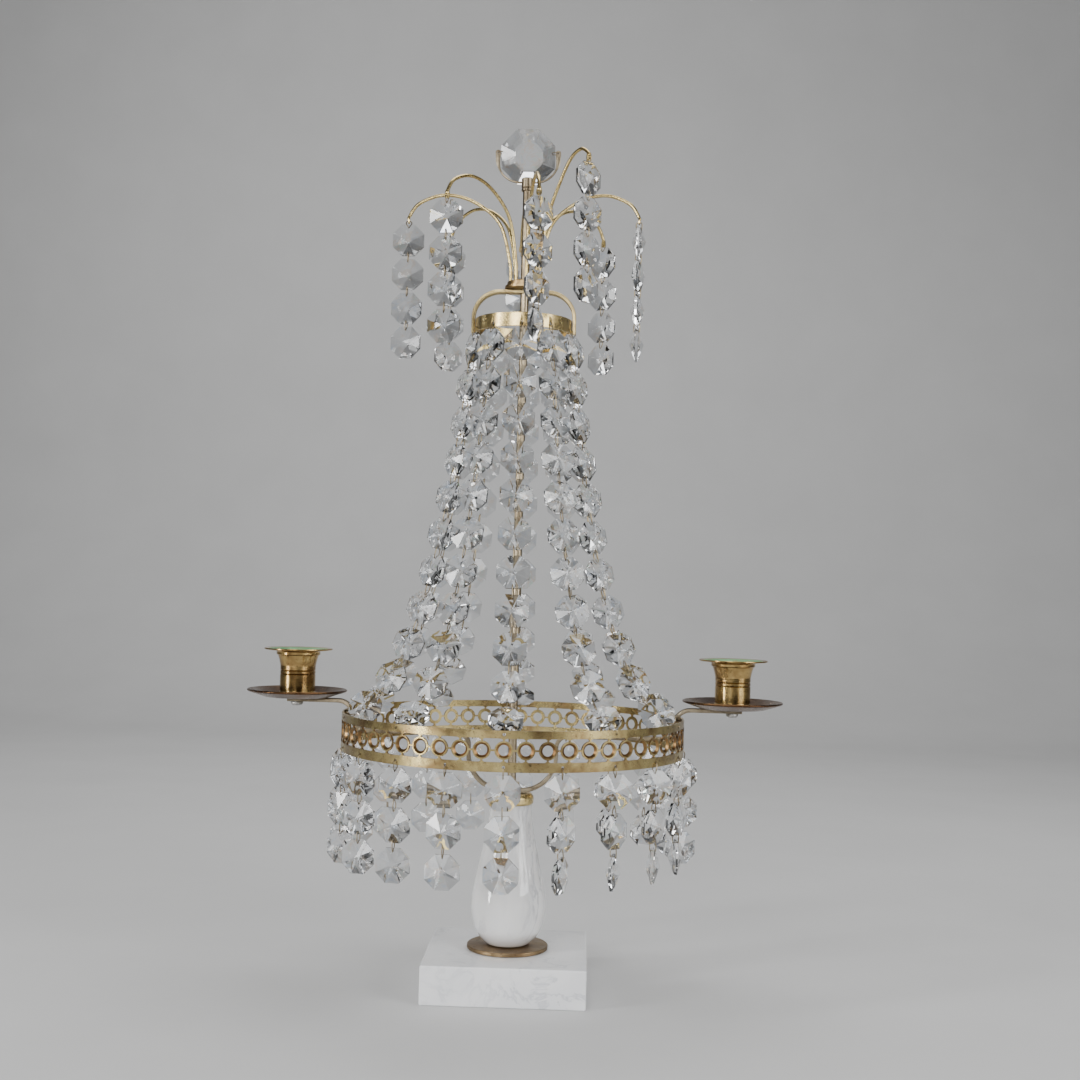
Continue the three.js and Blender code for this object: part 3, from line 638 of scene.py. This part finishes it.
def make_vase():
    low, high = node_span("vase")
    height = high.z - low.z
    outline = spline([(share * high.x, low.z + up * height) for share, up in VASE_SHARES], SPLINE_STEPS)
    profile = [(BORE_RADIUS, low.z), *[tuple(p) for p in outline], (BORE_RADIUS, high.z)]
    lathe("vase_turned", profile, ALABASTER, "stand", "vase")


def make_collar():
    low, high = node_span("collar")
    radius = high.x
    profile = rounded([
        (BORE_RADIUS, low.z, 0), (radius - 0.6, low.z, 0.2), (radius, low.z + 1.2, 0.5),
        (radius, high.z - 2.2, 1.2), (radius - 1.6, high.z, 1.0), (BORE_RADIUS, high.z, 0),
    ])
    lathe("collar_turned", [tuple(p) for p in profile], BRASS, "stand", "collar")


def make_rod():
    low, high = node_span("stem_rod")
    profile = [(0, low.z), (ROD_RADIUS, low.z), (ROD_RADIUS, high.z), (0, high.z)]
    lathe("rod_turned", profile, ROD, "stand", "stem_rod", sides=48)
    frame["nodes"]["cradle_nut"].data.materials.clear()
    frame["nodes"]["cradle_nut"].data.materials.append(ROD)


def make_cradle():
    low, high = node_span("cradle_bar")
    dip = low.z + BAR_THICKNESS / 2
    arm = high.z - BAR_THICKNESS / 2
    run = dip + DIP_DEPTH
    half = [
        (high.x, arm, 0), (ARM_DROP, arm, ARM_BEND), (ARM_DROP, run, DIP_BEND),
        (DIP_HALF_WIDTH, run, DIP_BEND), (DIP_HALF_WIDTH, dip, DIP_HALF_WIDTH - DIP_SEAT),
    ]
    corners = half + [(-x, z, r) for x, z, r in reversed(half)]
    strip = section_strip(BAR_THICKNESS, BAR_WIDTH, BAR_EDGE)
    mesh = swept(bmesh.new(), in_plane(rounded(corners)), strip, UP)
    stud = node_span("gallery")[1].z - GALLERY_TOP_RIM / 2
    for side in (1, -1):
        reach = GALLERY_RADIUS - GALLERY_WALL - CLEARANCE
        points = [(side * ARM_DROP, 0, stud), (side * reach, 0, stud)]
        swept(mesh, points, section_circle(STUD_RADIUS, 24))
    piece = make_object("cradle_bar_bent", mesh, DULL, "stand", "cradle_bar")


# The pierced gallery
def fret_cell(hole):
    """One cell from circle centre to circle centre: its outline and its two spandrels, unrolled."""
    pitch = GALLERY_RADIUS * FULL / CIRCLES
    low, high = node_span("gallery")
    height = high.z - low.z
    middle = (GALLERY_BOTTOM_RIM + height - GALLERY_TOP_RIM) / 2
    steps = 12

    def arc(x, radius, start, end, count):
        for step in range(count + 1):
            angle = math.radians(lerp(start, end, step / count))
            yield (x + radius * math.cos(angle), middle + radius * math.sin(angle))

    outline = [(0, 0), (pitch, 0), *arc(pitch, hole, 270, 90, steps)]
    outline += [(pitch, height), (0, height), *arc(0, hole, 90, -90, steps)]
    stub = FRET_BAR / 2
    tip = (pitch / 2 - FRET_TIP, middle + stub)
    upper = [(stub + 1.3, height - GALLERY_TOP_RIM), (stub, height - GALLERY_TOP_RIM - 0.8),
             *arc(0, CIRCLE_RIM, 84, 6, 9), tip]
    upper += [(pitch - x, y) for x, y in reversed(upper)]
    tip = (pitch / 2 - FRET_TIP, middle - stub)
    lower = [(stub + 1.3, GALLERY_BOTTOM_RIM), (stub, GALLERY_BOTTOM_RIM + 0.8),
             *arc(0, CIRCLE_RIM, -84, -6, 9), tip]
    lower += [(pitch - x, y) for x, y in reversed(lower)]
    return pitch, outline, [upper, lower]


def make_gallery():
    low, high = node_span("gallery")
    pitch, *front = fret_cell(CIRCLE_MOUTH)
    _, *back = fret_cell(CIRCLE_HOLE)
    front, back = ([side[0], *side[1]] for side in (front, back))
    mesh = bmesh.new()

    def placed(cell, point, radius):
        angle = (cell + point[0] / pitch) * FULL / CIRCLES - math.pi / 2
        return mesh.verts.new((radius * math.cos(angle), radius * math.sin(angle), low.z + point[1]))

    def on_seam(a, b):
        return abs(a[0] - b[0]) < 1e-4 and (abs(a[0]) < 1e-4 or abs(a[0] - pitch) < 1e-4)

    inner = GALLERY_RADIUS - GALLERY_WALL
    front_faces, back_faces = filled(front), filled(back)
    for cell in range(CIRCLES):
        for faces, radius in ((front_faces, GALLERY_RADIUS), (back_faces, inner)):
            for corners in faces:
                mesh.faces.new([placed(cell, point, radius) for point in corners])
        for near, far in zip(front, back):
            for k, start in enumerate(near):
                following = (k + 1) % len(near)
                if on_seam(start, near[following]):
                    continue
                mesh.faces.new([
                    placed(cell, start, GALLERY_RADIUS), placed(cell, near[following], GALLERY_RADIUS),
                    placed(cell, far[following], inner), placed(cell, far[k], inner),
                ])
    bmesh.ops.remove_doubles(mesh, verts=mesh.verts, dist=WELD)
    piece = make_object("gallery_pierced", mesh, GALLERY, "stand", "gallery")
    drills = bmesh.new()
    for count, height in (
        (GALLERY_STRANDS, low.z + GALLERY_BOTTOM_RIM / 2),
        (LONG_STRANDS, high.z - GALLERY_TOP_RIM / 2),
    ):
        for k in range(count):
            out = radial(360 * k / count)
            reaches = (inner - OVERRUN, GALLERY_RADIUS + OVERRUN)
            swept(drills, [out * reach + UP * height for reach in reaches],
                  section_circle(STRAND_HOLE, DRILL_SIDES))
    drilled(piece, drills)
    # Faces in the pierced band that don't face in or out, the side walls of the piercings, get the darker
    # brass.
    piece.data.materials.append(PIERCING_WALL_BRASS)
    pierced = (low.z + GALLERY_BOTTOM_RIM - 0.2, high.z - GALLERY_TOP_RIM + 0.2)
    for face in piece.data.polygons:
        out = face.center.xy.normalized()
        if abs(out.dot(face.normal.xy)) < 0.9 and pierced[0] < face.center.z / MM < pierced[1]:
            face.material_index = 1


# Candle arms' fittings
def make_candle(side, sign):
    centre = (sign * CANDLE_REACH, 0)
    low, high = node_span(f"pan_{side}")
    radius = (high.x - low.x) / 2
    floor = low.z + PAN_THICKNESS
    profile = rounded([
        (PAN_HOLE, low.z, 0), (PAN_FLOOR, low.z, 8), (radius - 1.0, high.z - 1.7, 0.4),
        (radius, high.z - 0.8, 0.5), (radius - 0.9, high.z, 0.5), (PAN_FLOOR, floor, 8), (PAN_HOLE, floor, 0),
    ])
    # The pan takes the brass that is painted near black, a painted dark reflection.
    pan = lathe(f"pan_{side}_turned", [tuple(p) for p in profile], PAN_PAINTED_DARK, "stand", f"pan_{side}", centre)

    low, high = node_span(f"socket_{side}")
    top, foot = high.z, low.z
    rim = (high.x - low.x) / 2
    body, floor, funnel = SOCKET_BODY, foot + SOCKET_FLOOR, top - SOCKET_FUNNEL
    outside = [
        (0, foot, 0), (SOCKET_FOOT, foot, 0.3), (SOCKET_FOOT, foot + 2.0, 0.5), (body, foot + 2.8, 0.4),
    ]
    for line in (foot + up for up in SOCKET_LINES):
        outside += [(body, line - 0.5, 0), (body - SOCKET_LINE_DEPTH, line, 0), (body, line + 0.5, 0)]
    outside += [
        (body, top - 12.0, 4), (body + 0.9, top - 8.0, 4), (body + 1.9, top - 4.9, 0.3),
        (body + 2.9, top - 4.5, 0.4), (body + 2.9, top - 2.2, 0.9), (rim - 1.0, top - 1.25, 3),
        (rim, top - 0.9, 0.2), (rim, top, 0.3),
    ]
    inside = [
        (rim - 1.2, top, 0.2), (rim - SOCKET_BRIM, top - 0.3, 0), (SOCKET_THROAT, top - 1.0, 1.0),
        (SOCKET_BORE, funnel, 1.2), (SOCKET_BORE, floor, 0.8), (0, floor, 0),
    ]
    mesh = turned(bmesh.new(), [tuple(p) for p in rounded(outside + inside)], centre=centre)
    socket = make_object(f"socket_{side}_turned", mesh, TURNED, "stand", f"socket_{side}")
    socket.data.materials.append(GREEN)
    for face in socket.data.polygons:
        middle = face.center / MM - Vector((centre[0], 0, 0))
        reach = middle.xy.length
        in_bore = reach < SOCKET_BORE + 0.1 and middle.z > foot + SOCKET_FLOOR / 2
        in_mouth = face.normal.z > 0.1 and reach < rim - SOCKET_BRIM and middle.z > funnel - 1
        if in_bore or in_mouth:
            face.material_index = 1

    low, high = node_span(f"pan_screw_{side}")
    head = (high.x - low.x) / 2
    shank = low.z + SCREW_HEAD
    profile = rounded([
        (0, low.z, 0), (head - 1.0, low.z, 0.4), (head, low.z + SCREW_HEAD / 2, 0.6), (head, shank, 0),
        (SCREW_SHANK, shank, 0), (SCREW_SHANK, high.z, 0), (0, high.z, 0),
    ])
    node = f"pan_screw_{side}"
    screw = lathe(f"{node}_turned", [tuple(p) for p in profile], STEEL, "stand", node, centre, 32)


# Small ring and bow
def make_small_ring():
    low, high = node_span("small_ring")
    outer, inner, edge = SMALL_RING_RADIUS, SMALL_RING_RADIUS - SMALL_RING_WALL, SMALL_RING_EDGE
    profile = rounded([
        (inner, low.z, edge), (outer, low.z, edge), (outer, high.z, edge), (inner, high.z, edge),
    ])
    piece = lathe(
        "small_ring_turned", [tuple(p) for p in profile], BRASS, "stand", "small_ring", sides=SMALL_RING_SIDES
    )
    drills = bmesh.new()
    for k in range(LONG_STRANDS):
        out = radial(360 * k / LONG_STRANDS)
        at = UP * (low.z + SMALL_RING_HOLE)
        ends = [out * (inner - OVERRUN) + at, out * (outer + OVERRUN) + at]
        swept(drills, ends, section_circle(STRAND_HOLE, DRILL_SIDES))
    drilled(piece, drills)


def make_bow():
    low, high = node_span("upper_bow")
    half = high.x - BOW_THICKNESS / 2
    top = high.z - BOW_THICKNESS / 2
    corners = [(-half, low.z, 0), (-half, top, BOW_CORNER), (half, top, BOW_CORNER), (half, low.z, 0)]
    strip = section_strip(BOW_THICKNESS, BAR_WIDTH, BOW_EDGE)
    mesh = swept(bmesh.new(), in_plane(rounded(corners)), strip, (1, 0, 0))
    make_object("bow_bent", mesh, SATIN, "stand", "upper_bow")


# Spray
def arm_shares(arm):
    shares = RAISED_ARM_SHARES if arm == RAISED_ARM else ARM_SHARES
    return [(reach * ARM_REACH_SHARES[arm], rise) for reach, rise in shares]


def tip_of(arm):
    """Radius of a spray arm's end, height of its end and height of its hole."""
    hub_top = node_span("upper_bow")[1].z + CLEARANCE + HUB_HEIGHT
    reach, rise = arm_shares(arm)[-1]
    end = hub_top + rise * ARM_HEIGHT
    hole = end - TIP_LENGTH * (1 - TIP_HOLE_SHARE) + 2 * ARM_WIRE
    return ARM_CIRCLE + reach * ARM_REACH, end, hole


def make_spray():
    low, _ = node_span("spray")
    step, top = low.z + HUB_STEP, low.z + HUB_HEIGHT
    profile = rounded([
        (BORE_RADIUS, low.z, 0), (HUB_RADIUS, low.z, 0.4), (HUB_RADIUS, step, 0.3), (HUB_STEP_RADIUS, step, 0),
        (HUB_STEP_RADIUS, top, 0.4), (BORE_RADIUS, top, 0),
    ])
    mesh = turned(bmesh.new(), [tuple(p) for p in profile])
    for arm, bearing in enumerate(ARM_BEARINGS):
        out = radial(bearing)
        side = UP.cross(out)
        reach, end, hole = tip_of(arm)
        points = [(ARM_CIRCLE, top - 2)] + [
            (ARM_CIRCLE + x * ARM_REACH, top + z * ARM_HEIGHT) for x, z in arm_shares(arm)
        ]
        curve = [out * p.x + UP * p.y for p in spline([*points, (reach, end - 1.6)], 7)]
        shares = [(k + 1) / TIP_FLAT_STEPS for k in range(TIP_FLAT_STEPS)]
        stretches = [(1, 1)] * (len(curve) - TIP_FLAT_STEPS)
        stretches += [(lerp(1, 1.3, share), lerp(1, 0.42, share)) for share in shares]
        swept(mesh, curve, section_circle(ARM_WIRE, 14), side, stretches=stretches)
        shoulder, foot = end + 0.6, end + 2 * ARM_WIRE - TIP_LENGTH
        half_tip = TIP_WIDTH / 2
        outline = rounded([
            (-1.2, shoulder, 0.3), (-half_tip, shoulder - 2.4, 1.2), (-half_tip, foot, 1.5),
            (half_tip, foot, 1.5), (half_tip, shoulder - 2.4, 1.2), (1.2, shoulder, 0.3),
        ])
        ring = [(x, hole + y) for x, y in section_circle(TIP_HOLE, HOLE_SIDES)]

        def placed(x, y, face):
            return out * (reach + (face - 0.5) * TIP_THICKNESS) + side * x + UP * y

        plate(mesh, outline, ring, placed)
    piece = make_object("spray_brazed", mesh, BRASS, "stand", "spray")
    piece.data.materials.append(HUB)
    for face in piece.data.polygons:
        face.material_index = int(face.center.z / MM < top + 0.1)


# Finial
def stirrup_heights():
    """Heights of the stirrup's middle where it passes through the ferrule, and of its ears."""
    middle = node_span("stirrup")[0].z + STIRRUP_WIRE / 2
    return middle, middle + EAR_HEIGHT


def make_ferrule():
    low, high = node_span("ferrule")
    radius = high.y
    profile = rounded([
        (BORE_RADIUS, low.z, 0), (radius, low.z, 0.3), (radius, low.z + 1.4, 0.2),
        (radius - 0.4, low.z + 1.8, 0.2), (radius - 0.4, low.z + 2.2, 0.2), (radius, low.z + 2.6, 0.2),
        (radius, high.z, 0.6), (0, high.z, 0), (0, low.z + 4.4, 0), (BORE_RADIUS, low.z + 4.4, 0),
    ])
    piece = lathe("ferrule_turned", [tuple(p) for p in profile], ROD, "stand", "ferrule", sides=48)
    middle, _ = stirrup_heights()
    drills = bmesh.new()
    swept(drills, [(-8, 0, middle), (8, 0, middle)], section_strip(2.5, 2.5, 0.3), UP)
    drilled(piece, drills)


def make_stirrup():
    """A thin bow whose legs are flattened towards the drilled ears."""
    middle, ears = stirrup_heights()
    half = STIRRUP_HALF_WIDTH
    route = rounded([
        (-half, ears - EAR_RADIUS, 0), (-half, ears - 7, 0.5), (-half, middle, STIRRUP_CORNER),
        (half, middle, STIRRUP_CORNER), (half, ears - 7, 0.5), (half, ears - EAR_RADIUS, 0),
    ])
    flat = [max(0, min(1, (p.y - middle - 8) / (ears - middle - 12))) for p in route]
    stretches = [(lerp(0.7, 1.85, share), lerp(0.85, 0.62, share)) for share in flat]
    wire = section_strip(STIRRUP_WIRE, STIRRUP_WIRE, 0.6)
    mesh = swept(bmesh.new(), in_plane(route), wire, (1, 0, 0), stretches=stretches)
    for side in (-1, 1):
        outline = rounded([
            (side * half - 1.75, ears - EAR_DROP, 0.2), (side * half + 1.75, ears - EAR_DROP, 0.2),
            (side * half + EAR_RADIUS, ears + EAR_RADIUS, 1.6),
            (side * half - EAR_RADIUS, ears + EAR_RADIUS, 1.6),
        ])
        ring = [(side * half + x, ears + y) for x, y in section_circle(TIP_HOLE, HOLE_SIDES)]
        plate(mesh, outline, ring, lambda x, y, face: Vector((x, (face - 0.5) * EAR_THICKNESS, y)))
    make_object("stirrup_bent", mesh, DULL, "stand", "stirrup")


def octagon(flats, place, up, facing, depth):
    """Corners of an octagon with a flat on top, its middle lifted along facing."""
    right = up.cross(facing)
    radius = flats / 2 / math.cos(math.pi / 8)
    middle = place + facing * depth
    return [
        middle + right * radius * math.cos(math.pi / 8 + k * math.pi / 4)
        + up * radius * math.sin(math.pi / 8 + k * math.pi / 4)
        for k in range(8)
    ]


def add_gem(mesh, place, up, facing):
    loops = [
        [mesh.verts.new(p) for p in octagon(flats, place, up, facing, depth)]
        for flats, depth in (
            (GEM_TABLE, -GEM_THICKNESS / 2), (GEM_FLATS, -GEM_GIRDLE / 2), (GEM_FLATS, GEM_GIRDLE / 2),
            (GEM_TABLE, GEM_THICKNESS / 2),
        )
    ]
    mesh.faces.new(loops[0][::-1])
    mesh.faces.new(loops[-1])
    for first, second in zip(loops, loops[1:]):
        for k in range(8):
            mesh.faces.new((first[k], first[(k + 1) % 8], second[(k + 1) % 8], second[k]))


def gem_lean(ears):
    """The lean at which the gem's lower half, behind the ferrule, rests against the ferrule's top."""
    ferrule = node_span("ferrule")[1]
    reach = ears - ferrule.z
    slope = (GEM_THICKNESS - GEM_GIRDLE) / (GEM_FLATS - GEM_TABLE)
    half = GEM_GIRDLE / 2 + (GEM_FLATS / 2 + GEM_HANG - reach) * slope
    return math.asin((FERRULE_RADIUS + half + CLEARANCE) / reach)


def make_finial_gem():
    _, ears = stirrup_heights()
    lean = gem_lean(ears)
    turn = Matrix.Rotation(lean, 3, "X")
    up, facing = turn @ UP, turn @ Vector((0, -1, 0))
    place = UP * ears - up * GEM_HANG
    mesh = bmesh.new()
    add_gem(mesh, place, up, facing)
    make_object("finial_gem_cut", mesh, GLASS, "finial_gem", "finial_gem", FACET_CREASE)
    wires = bmesh.new()
    plane = Matrix.Rotation(-GEM_SWING / 2, 3, "X") @ Vector((0, -1, 0))
    for side in (-1, 1):
        outer = Vector((side * STIRRUP_HALF_WIDTH, 0, ears))
        inner = Vector((side * (GEM_FLATS / 2 - GEM_HOLE_INSET), 0, ears))
        add_link(wires, outer, inner, plane, plane, GEM_RING_HALF_WIDTH)
    make_object("finial_gem_loops", wires, WIRE, "finial_gem")


# Octagon strands
def add_link(mesh, top, bottom, top_side, bottom_side, half_width):
    """A wire loop through two holes. Its sides lie along the holes' directions, so it may be twisted."""
    points = []
    for step in range(LINK_STEPS):
        angle = FULL * step / LINK_STEPS
        along, across = (
            math.copysign(abs(value) ** LINK_SQUARENESS, value) for value in (math.cos(angle), math.sin(angle))
        )
        share = (along + 1) / 2
        side = lerp(bottom_side, top_side, share)
        if side.length < WELD:
            side = top_side
        points.append(lerp(bottom, top, share) + side.normalized() * across * half_width)
    swept(mesh, points, section_circle(LINK_WIRE, LINK_SIDES), closed=True)


def add_crystal(mesh, place, up, facing):
    front = mesh.verts.new(place + facing * CRYSTAL_THICKNESS / 2)
    back = mesh.verts.new(place - facing * CRYSTAL_THICKNESS / 2)
    near = [mesh.verts.new(p) for p in octagon(CRYSTAL_FLATS, place, up, facing, CRYSTAL_GIRDLE / 2)]
    far = [mesh.verts.new(p) for p in octagon(CRYSTAL_FLATS, place, up, facing, -CRYSTAL_GIRDLE / 2)]
    for k in range(8):
        following = (k + 1) % 8
        mesh.faces.new((front, near[k], near[following]))
        mesh.faces.new((back, far[following], far[k]))
        mesh.faces.new((near[k], far[k], far[following], near[following]))


def off_axis(bearing):
    """The bearing measured from the front or the back, whichever is nearer."""
    return (bearing + 90) % 180 - 90


def facings_of(bearing, first, last, count):
    """The bearing that each octagon of a strand faces."""
    return [
        lerp(first, last, k / (count - 1)) + STRAND_SWAY * math.sin(bearing + 2 * k)
        for k in range(count)
    ]


def make_strand(node, stations, top_hole, top_side, foot_hole=None):
    """Stations are (middle, up, facing). Wire loops join them, and the ends hang on the given holes."""
    body = node if node in frame["bodies"] else "stand"
    inset = CRYSTAL_FLATS / 2 - CRYSTAL_HOLE_INSET
    glass = bmesh.new()
    wires = bmesh.new()
    above, above_side = top_hole, top_side
    for place, up, facing in stations:
        add_crystal(glass, place, up, facing)
        hole = place + up * inset
        side = facing if facing.dot(above_side) >= 0 else -facing
        add_link(wires, above, hole, above_side, side, LINK_HALF_WIDTH)
        above, above_side = place - up * inset, facing
    if foot_hole:
        add_link(wires, above, foot_hole, above_side, top_side, LINK_HALF_WIDTH)
    crystals = make_object(f"{node}_octagons", glass, GLASS, body, node, FACET_CREASE)
    make_object(f"{node}_links", wires, WIRE, body)


def station(bearing, radius, height, slope, facing):
    """A place on a strand, with the direction up the strand, and a face that looks towards a bearing."""
    out = radial(bearing)
    up = UP * math.cos(slope) - out * math.sin(slope)
    ahead = out * math.cos(slope) + UP * math.sin(slope)
    turn = Matrix.Rotation(math.radians(facing - bearing), 3, up)
    return out * radius + UP * height, up, turn @ ahead


def hanging_strand(node, bearing, radius, height, hang, pitch, facings):
    stations = [
        station(bearing, radius, height - hang - k * pitch, 0, facing) for k, facing in enumerate(facings)
    ]
    out = radial(bearing)
    make_strand(node, stations, out * radius + UP * height, out)


def catenary(top, foot, length):
    """A chain of a known length between two (radius, height) points: a function of the length from the top."""
    span, drop = foot[0] - top[0], top[1] - foot[1]
    wanted = math.sqrt(length ** 2 - drop ** 2) / span
    low, high = 1e-6, 10.0
    for _ in range(60):
        middle = (low + high) / 2
        if math.sinh(middle) / middle < wanted:
            low = middle
        else:
            high = middle
    scale = span / (2 * low)
    start = math.atanh(drop / length) + low

    def at(along):
        here = math.asinh(math.sinh(start) - along / scale)
        radius = top[0] + scale * (start - here)
        height = top[1] - scale * (math.cosh(start) - math.cosh(here))
        return radius, height, math.pi / 2 - math.atan(math.sinh(here))

    return at


def make_long_strands():
    ring_low, _ = node_span("small_ring")
    _, gallery_high = node_span("gallery")
    top = (SMALL_RING_RADIUS + CLEARANCE + 0.4, ring_low.z + SMALL_RING_HOLE)
    foot = (GALLERY_RADIUS - GALLERY_WALL / 2, gallery_high.z - GALLERY_TOP_RIM / 2)
    curve = catenary(top, foot, 2 * LONG_HANG + (LONG_COUNT - 1) * LONG_PITCH)
    for strand in range(LONG_STRANDS):
        bearing = 360 * strand / LONG_STRANDS
        out = radial(bearing)
        ends = [bearing - share * off_axis(bearing) for share in (LONG_TOP_SHARE, LONG_FOOT_SHARE)]
        stations = []
        for k, facing in enumerate(facings_of(bearing, *ends, LONG_COUNT)):
            radius, height, slope = curve(LONG_HANG + k * LONG_PITCH)
            stations.append(station(bearing, radius, height, slope, facing))
        hole = out * (SMALL_RING_RADIUS - SMALL_RING_WALL / 2) + UP * top[1]
        make_strand(f"long_strand_{strand + 1}", stations, hole, out, out * foot[0] + UP * foot[1])


def make_spray_strands():
    for arm, bearing in enumerate(ARM_BEARINGS):
        reach, _, hole = tip_of(arm)
        facings = facings_of(bearing, *SPRAY_FACINGS[arm], SPRAY_COUNT)
        hanging_strand(f"spray_strand_{arm + 1}", bearing, reach, hole, SPRAY_HANG, SPRAY_PITCH, facings)


def make_gallery_strands():
    low, _ = node_span("gallery")
    for strand in range(GALLERY_STRANDS):
        bearing = 360 * strand / GALLERY_STRANDS
        first = bearing - GALLERY_SHARE * off_axis(bearing)
        last = first + (GALLERY_TWIST if math.sin(math.radians(bearing)) > GALLERY_TWIST_FROM else 0)
        hanging_strand(
            f"gallery_strand_{strand + 1}", bearing, GALLERY_RADIUS - GALLERY_WALL / 2,
            low.z + GALLERY_BOTTOM_RIM / 2, GALLERY_HANG, GALLERY_PITCH,
            facings_of(bearing, first, last, GALLERY_COUNT),
        )


# Studio
def make_studio():
    """A pale floor that sweeps up behind, soft lights and an even surround."""
    depth, width, rise, bend = 1.6, 6.0, 3.0, 0.9
    outline = [Vector((-3.0, 0.0)), Vector((depth, 0.0))]
    for step in range(1, 25):
        angle = step / 24 * math.pi / 2
        outline.append(Vector((depth + bend * math.sin(angle), bend * (1 - math.cos(angle)))))
    outline.append(Vector((depth + bend, rise)))
    mesh = bmesh.new()
    rows = [[mesh.verts.new((x, p.x, p.y)) for x in (-width / 2, width / 2)] for p in outline]
    for first, second in zip(rows, rows[1:]):
        mesh.faces.new((first[0], first[1], second[1], second[0]))
    for face in mesh.faces:
        face.smooth = True
    data = bpy.data.meshes.new("studio_floor")
    mesh.to_mesh(data)
    mesh.free()
    data.materials.append(floor_material())
    floor = bpy.data.objects.new("studio_floor", data)
    bpy.context.scene.collection.objects.link(floor)

    def light(name, place, target, size, power, colour=(1, 1, 1)):
        lamp = bpy.data.lights.new(name, "AREA")
        lamp.shape = "RECTANGLE"
        lamp.size, lamp.size_y = size
        lamp.energy = power
        lamp.color = colour
        holder = bpy.data.objects.new(name, lamp)
        holder.location = place
        holder.rotation_euler = (Vector(target) - Vector(place)).to_track_quat("-Z", "Y").to_euler()
        bpy.context.scene.collection.objects.link(holder)

    def around(turn, distance, height):
        return radial(CAMERA_BEARING + turn) * distance + UP * height

    light("strip_light", around(-62, 1.7, 0.55), (0, 0, 0.3), (0.2, 1.3), 20)
    light("window_light", around(52, 1.7, 0.75), (0, 0, 0.3), (1.0, 1.2), 22)
    light("front_light", around(-18, 1.9, 0.7), (0, 0, 0.2), (0.8, 0.6), 17)
    light("top_light", (0.1, 0.35, 1.8), (0, 0.1, 0.1), (1.4, 1.0), 16)
    light("back_light", (-0.4, 1.1, 1.6), (0, 2.2, 0.7), (1.6, 1.0), 8)
    world = bpy.data.worlds.new("studio")
    world.use_nodes = True
    world.node_tree.nodes["Background"].inputs["Color"].default_value = (0.80, 0.81, 0.82, 1)
    world.node_tree.nodes["Background"].inputs["Strength"].default_value = 0.12
    bpy.context.scene.world = world


def make_camera():
    data = bpy.data.cameras.new("camera")
    data.lens = CAMERA_LENS
    data.sensor_width = CAMERA_SENSOR
    camera = bpy.data.objects.new("camera", data)
    place = radial(CAMERA_BEARING) * CAMERA_DISTANCE + UP * CAMERA_HEIGHT
    yaw = Matrix.Rotation(math.radians(CAMERA_BEARING - CAMERA_PAN), 4, "Z")
    pitch = Matrix.Rotation(math.radians(90 + CAMERA_PITCH), 4, "X")
    roll = Matrix.Rotation(math.radians(CAMERA_ROLL), 4, "Z")
    camera.matrix_world = Matrix.Translation(place * MM) @ yaw @ pitch @ roll
    bpy.context.scene.collection.objects.link(camera)
    bpy.context.scene.camera = camera


make_base()
make_foot_disc()
make_vase()
make_collar()
make_rod()
make_cradle()
make_gallery()
make_candle("left", -1)
make_candle("right", 1)
make_small_ring()
make_bow()
make_spray()
make_ferrule()
make_stirrup()
make_finial_gem()
make_long_strands()
make_spray_strands()
make_gallery_strands()
make_studio()
make_camera()
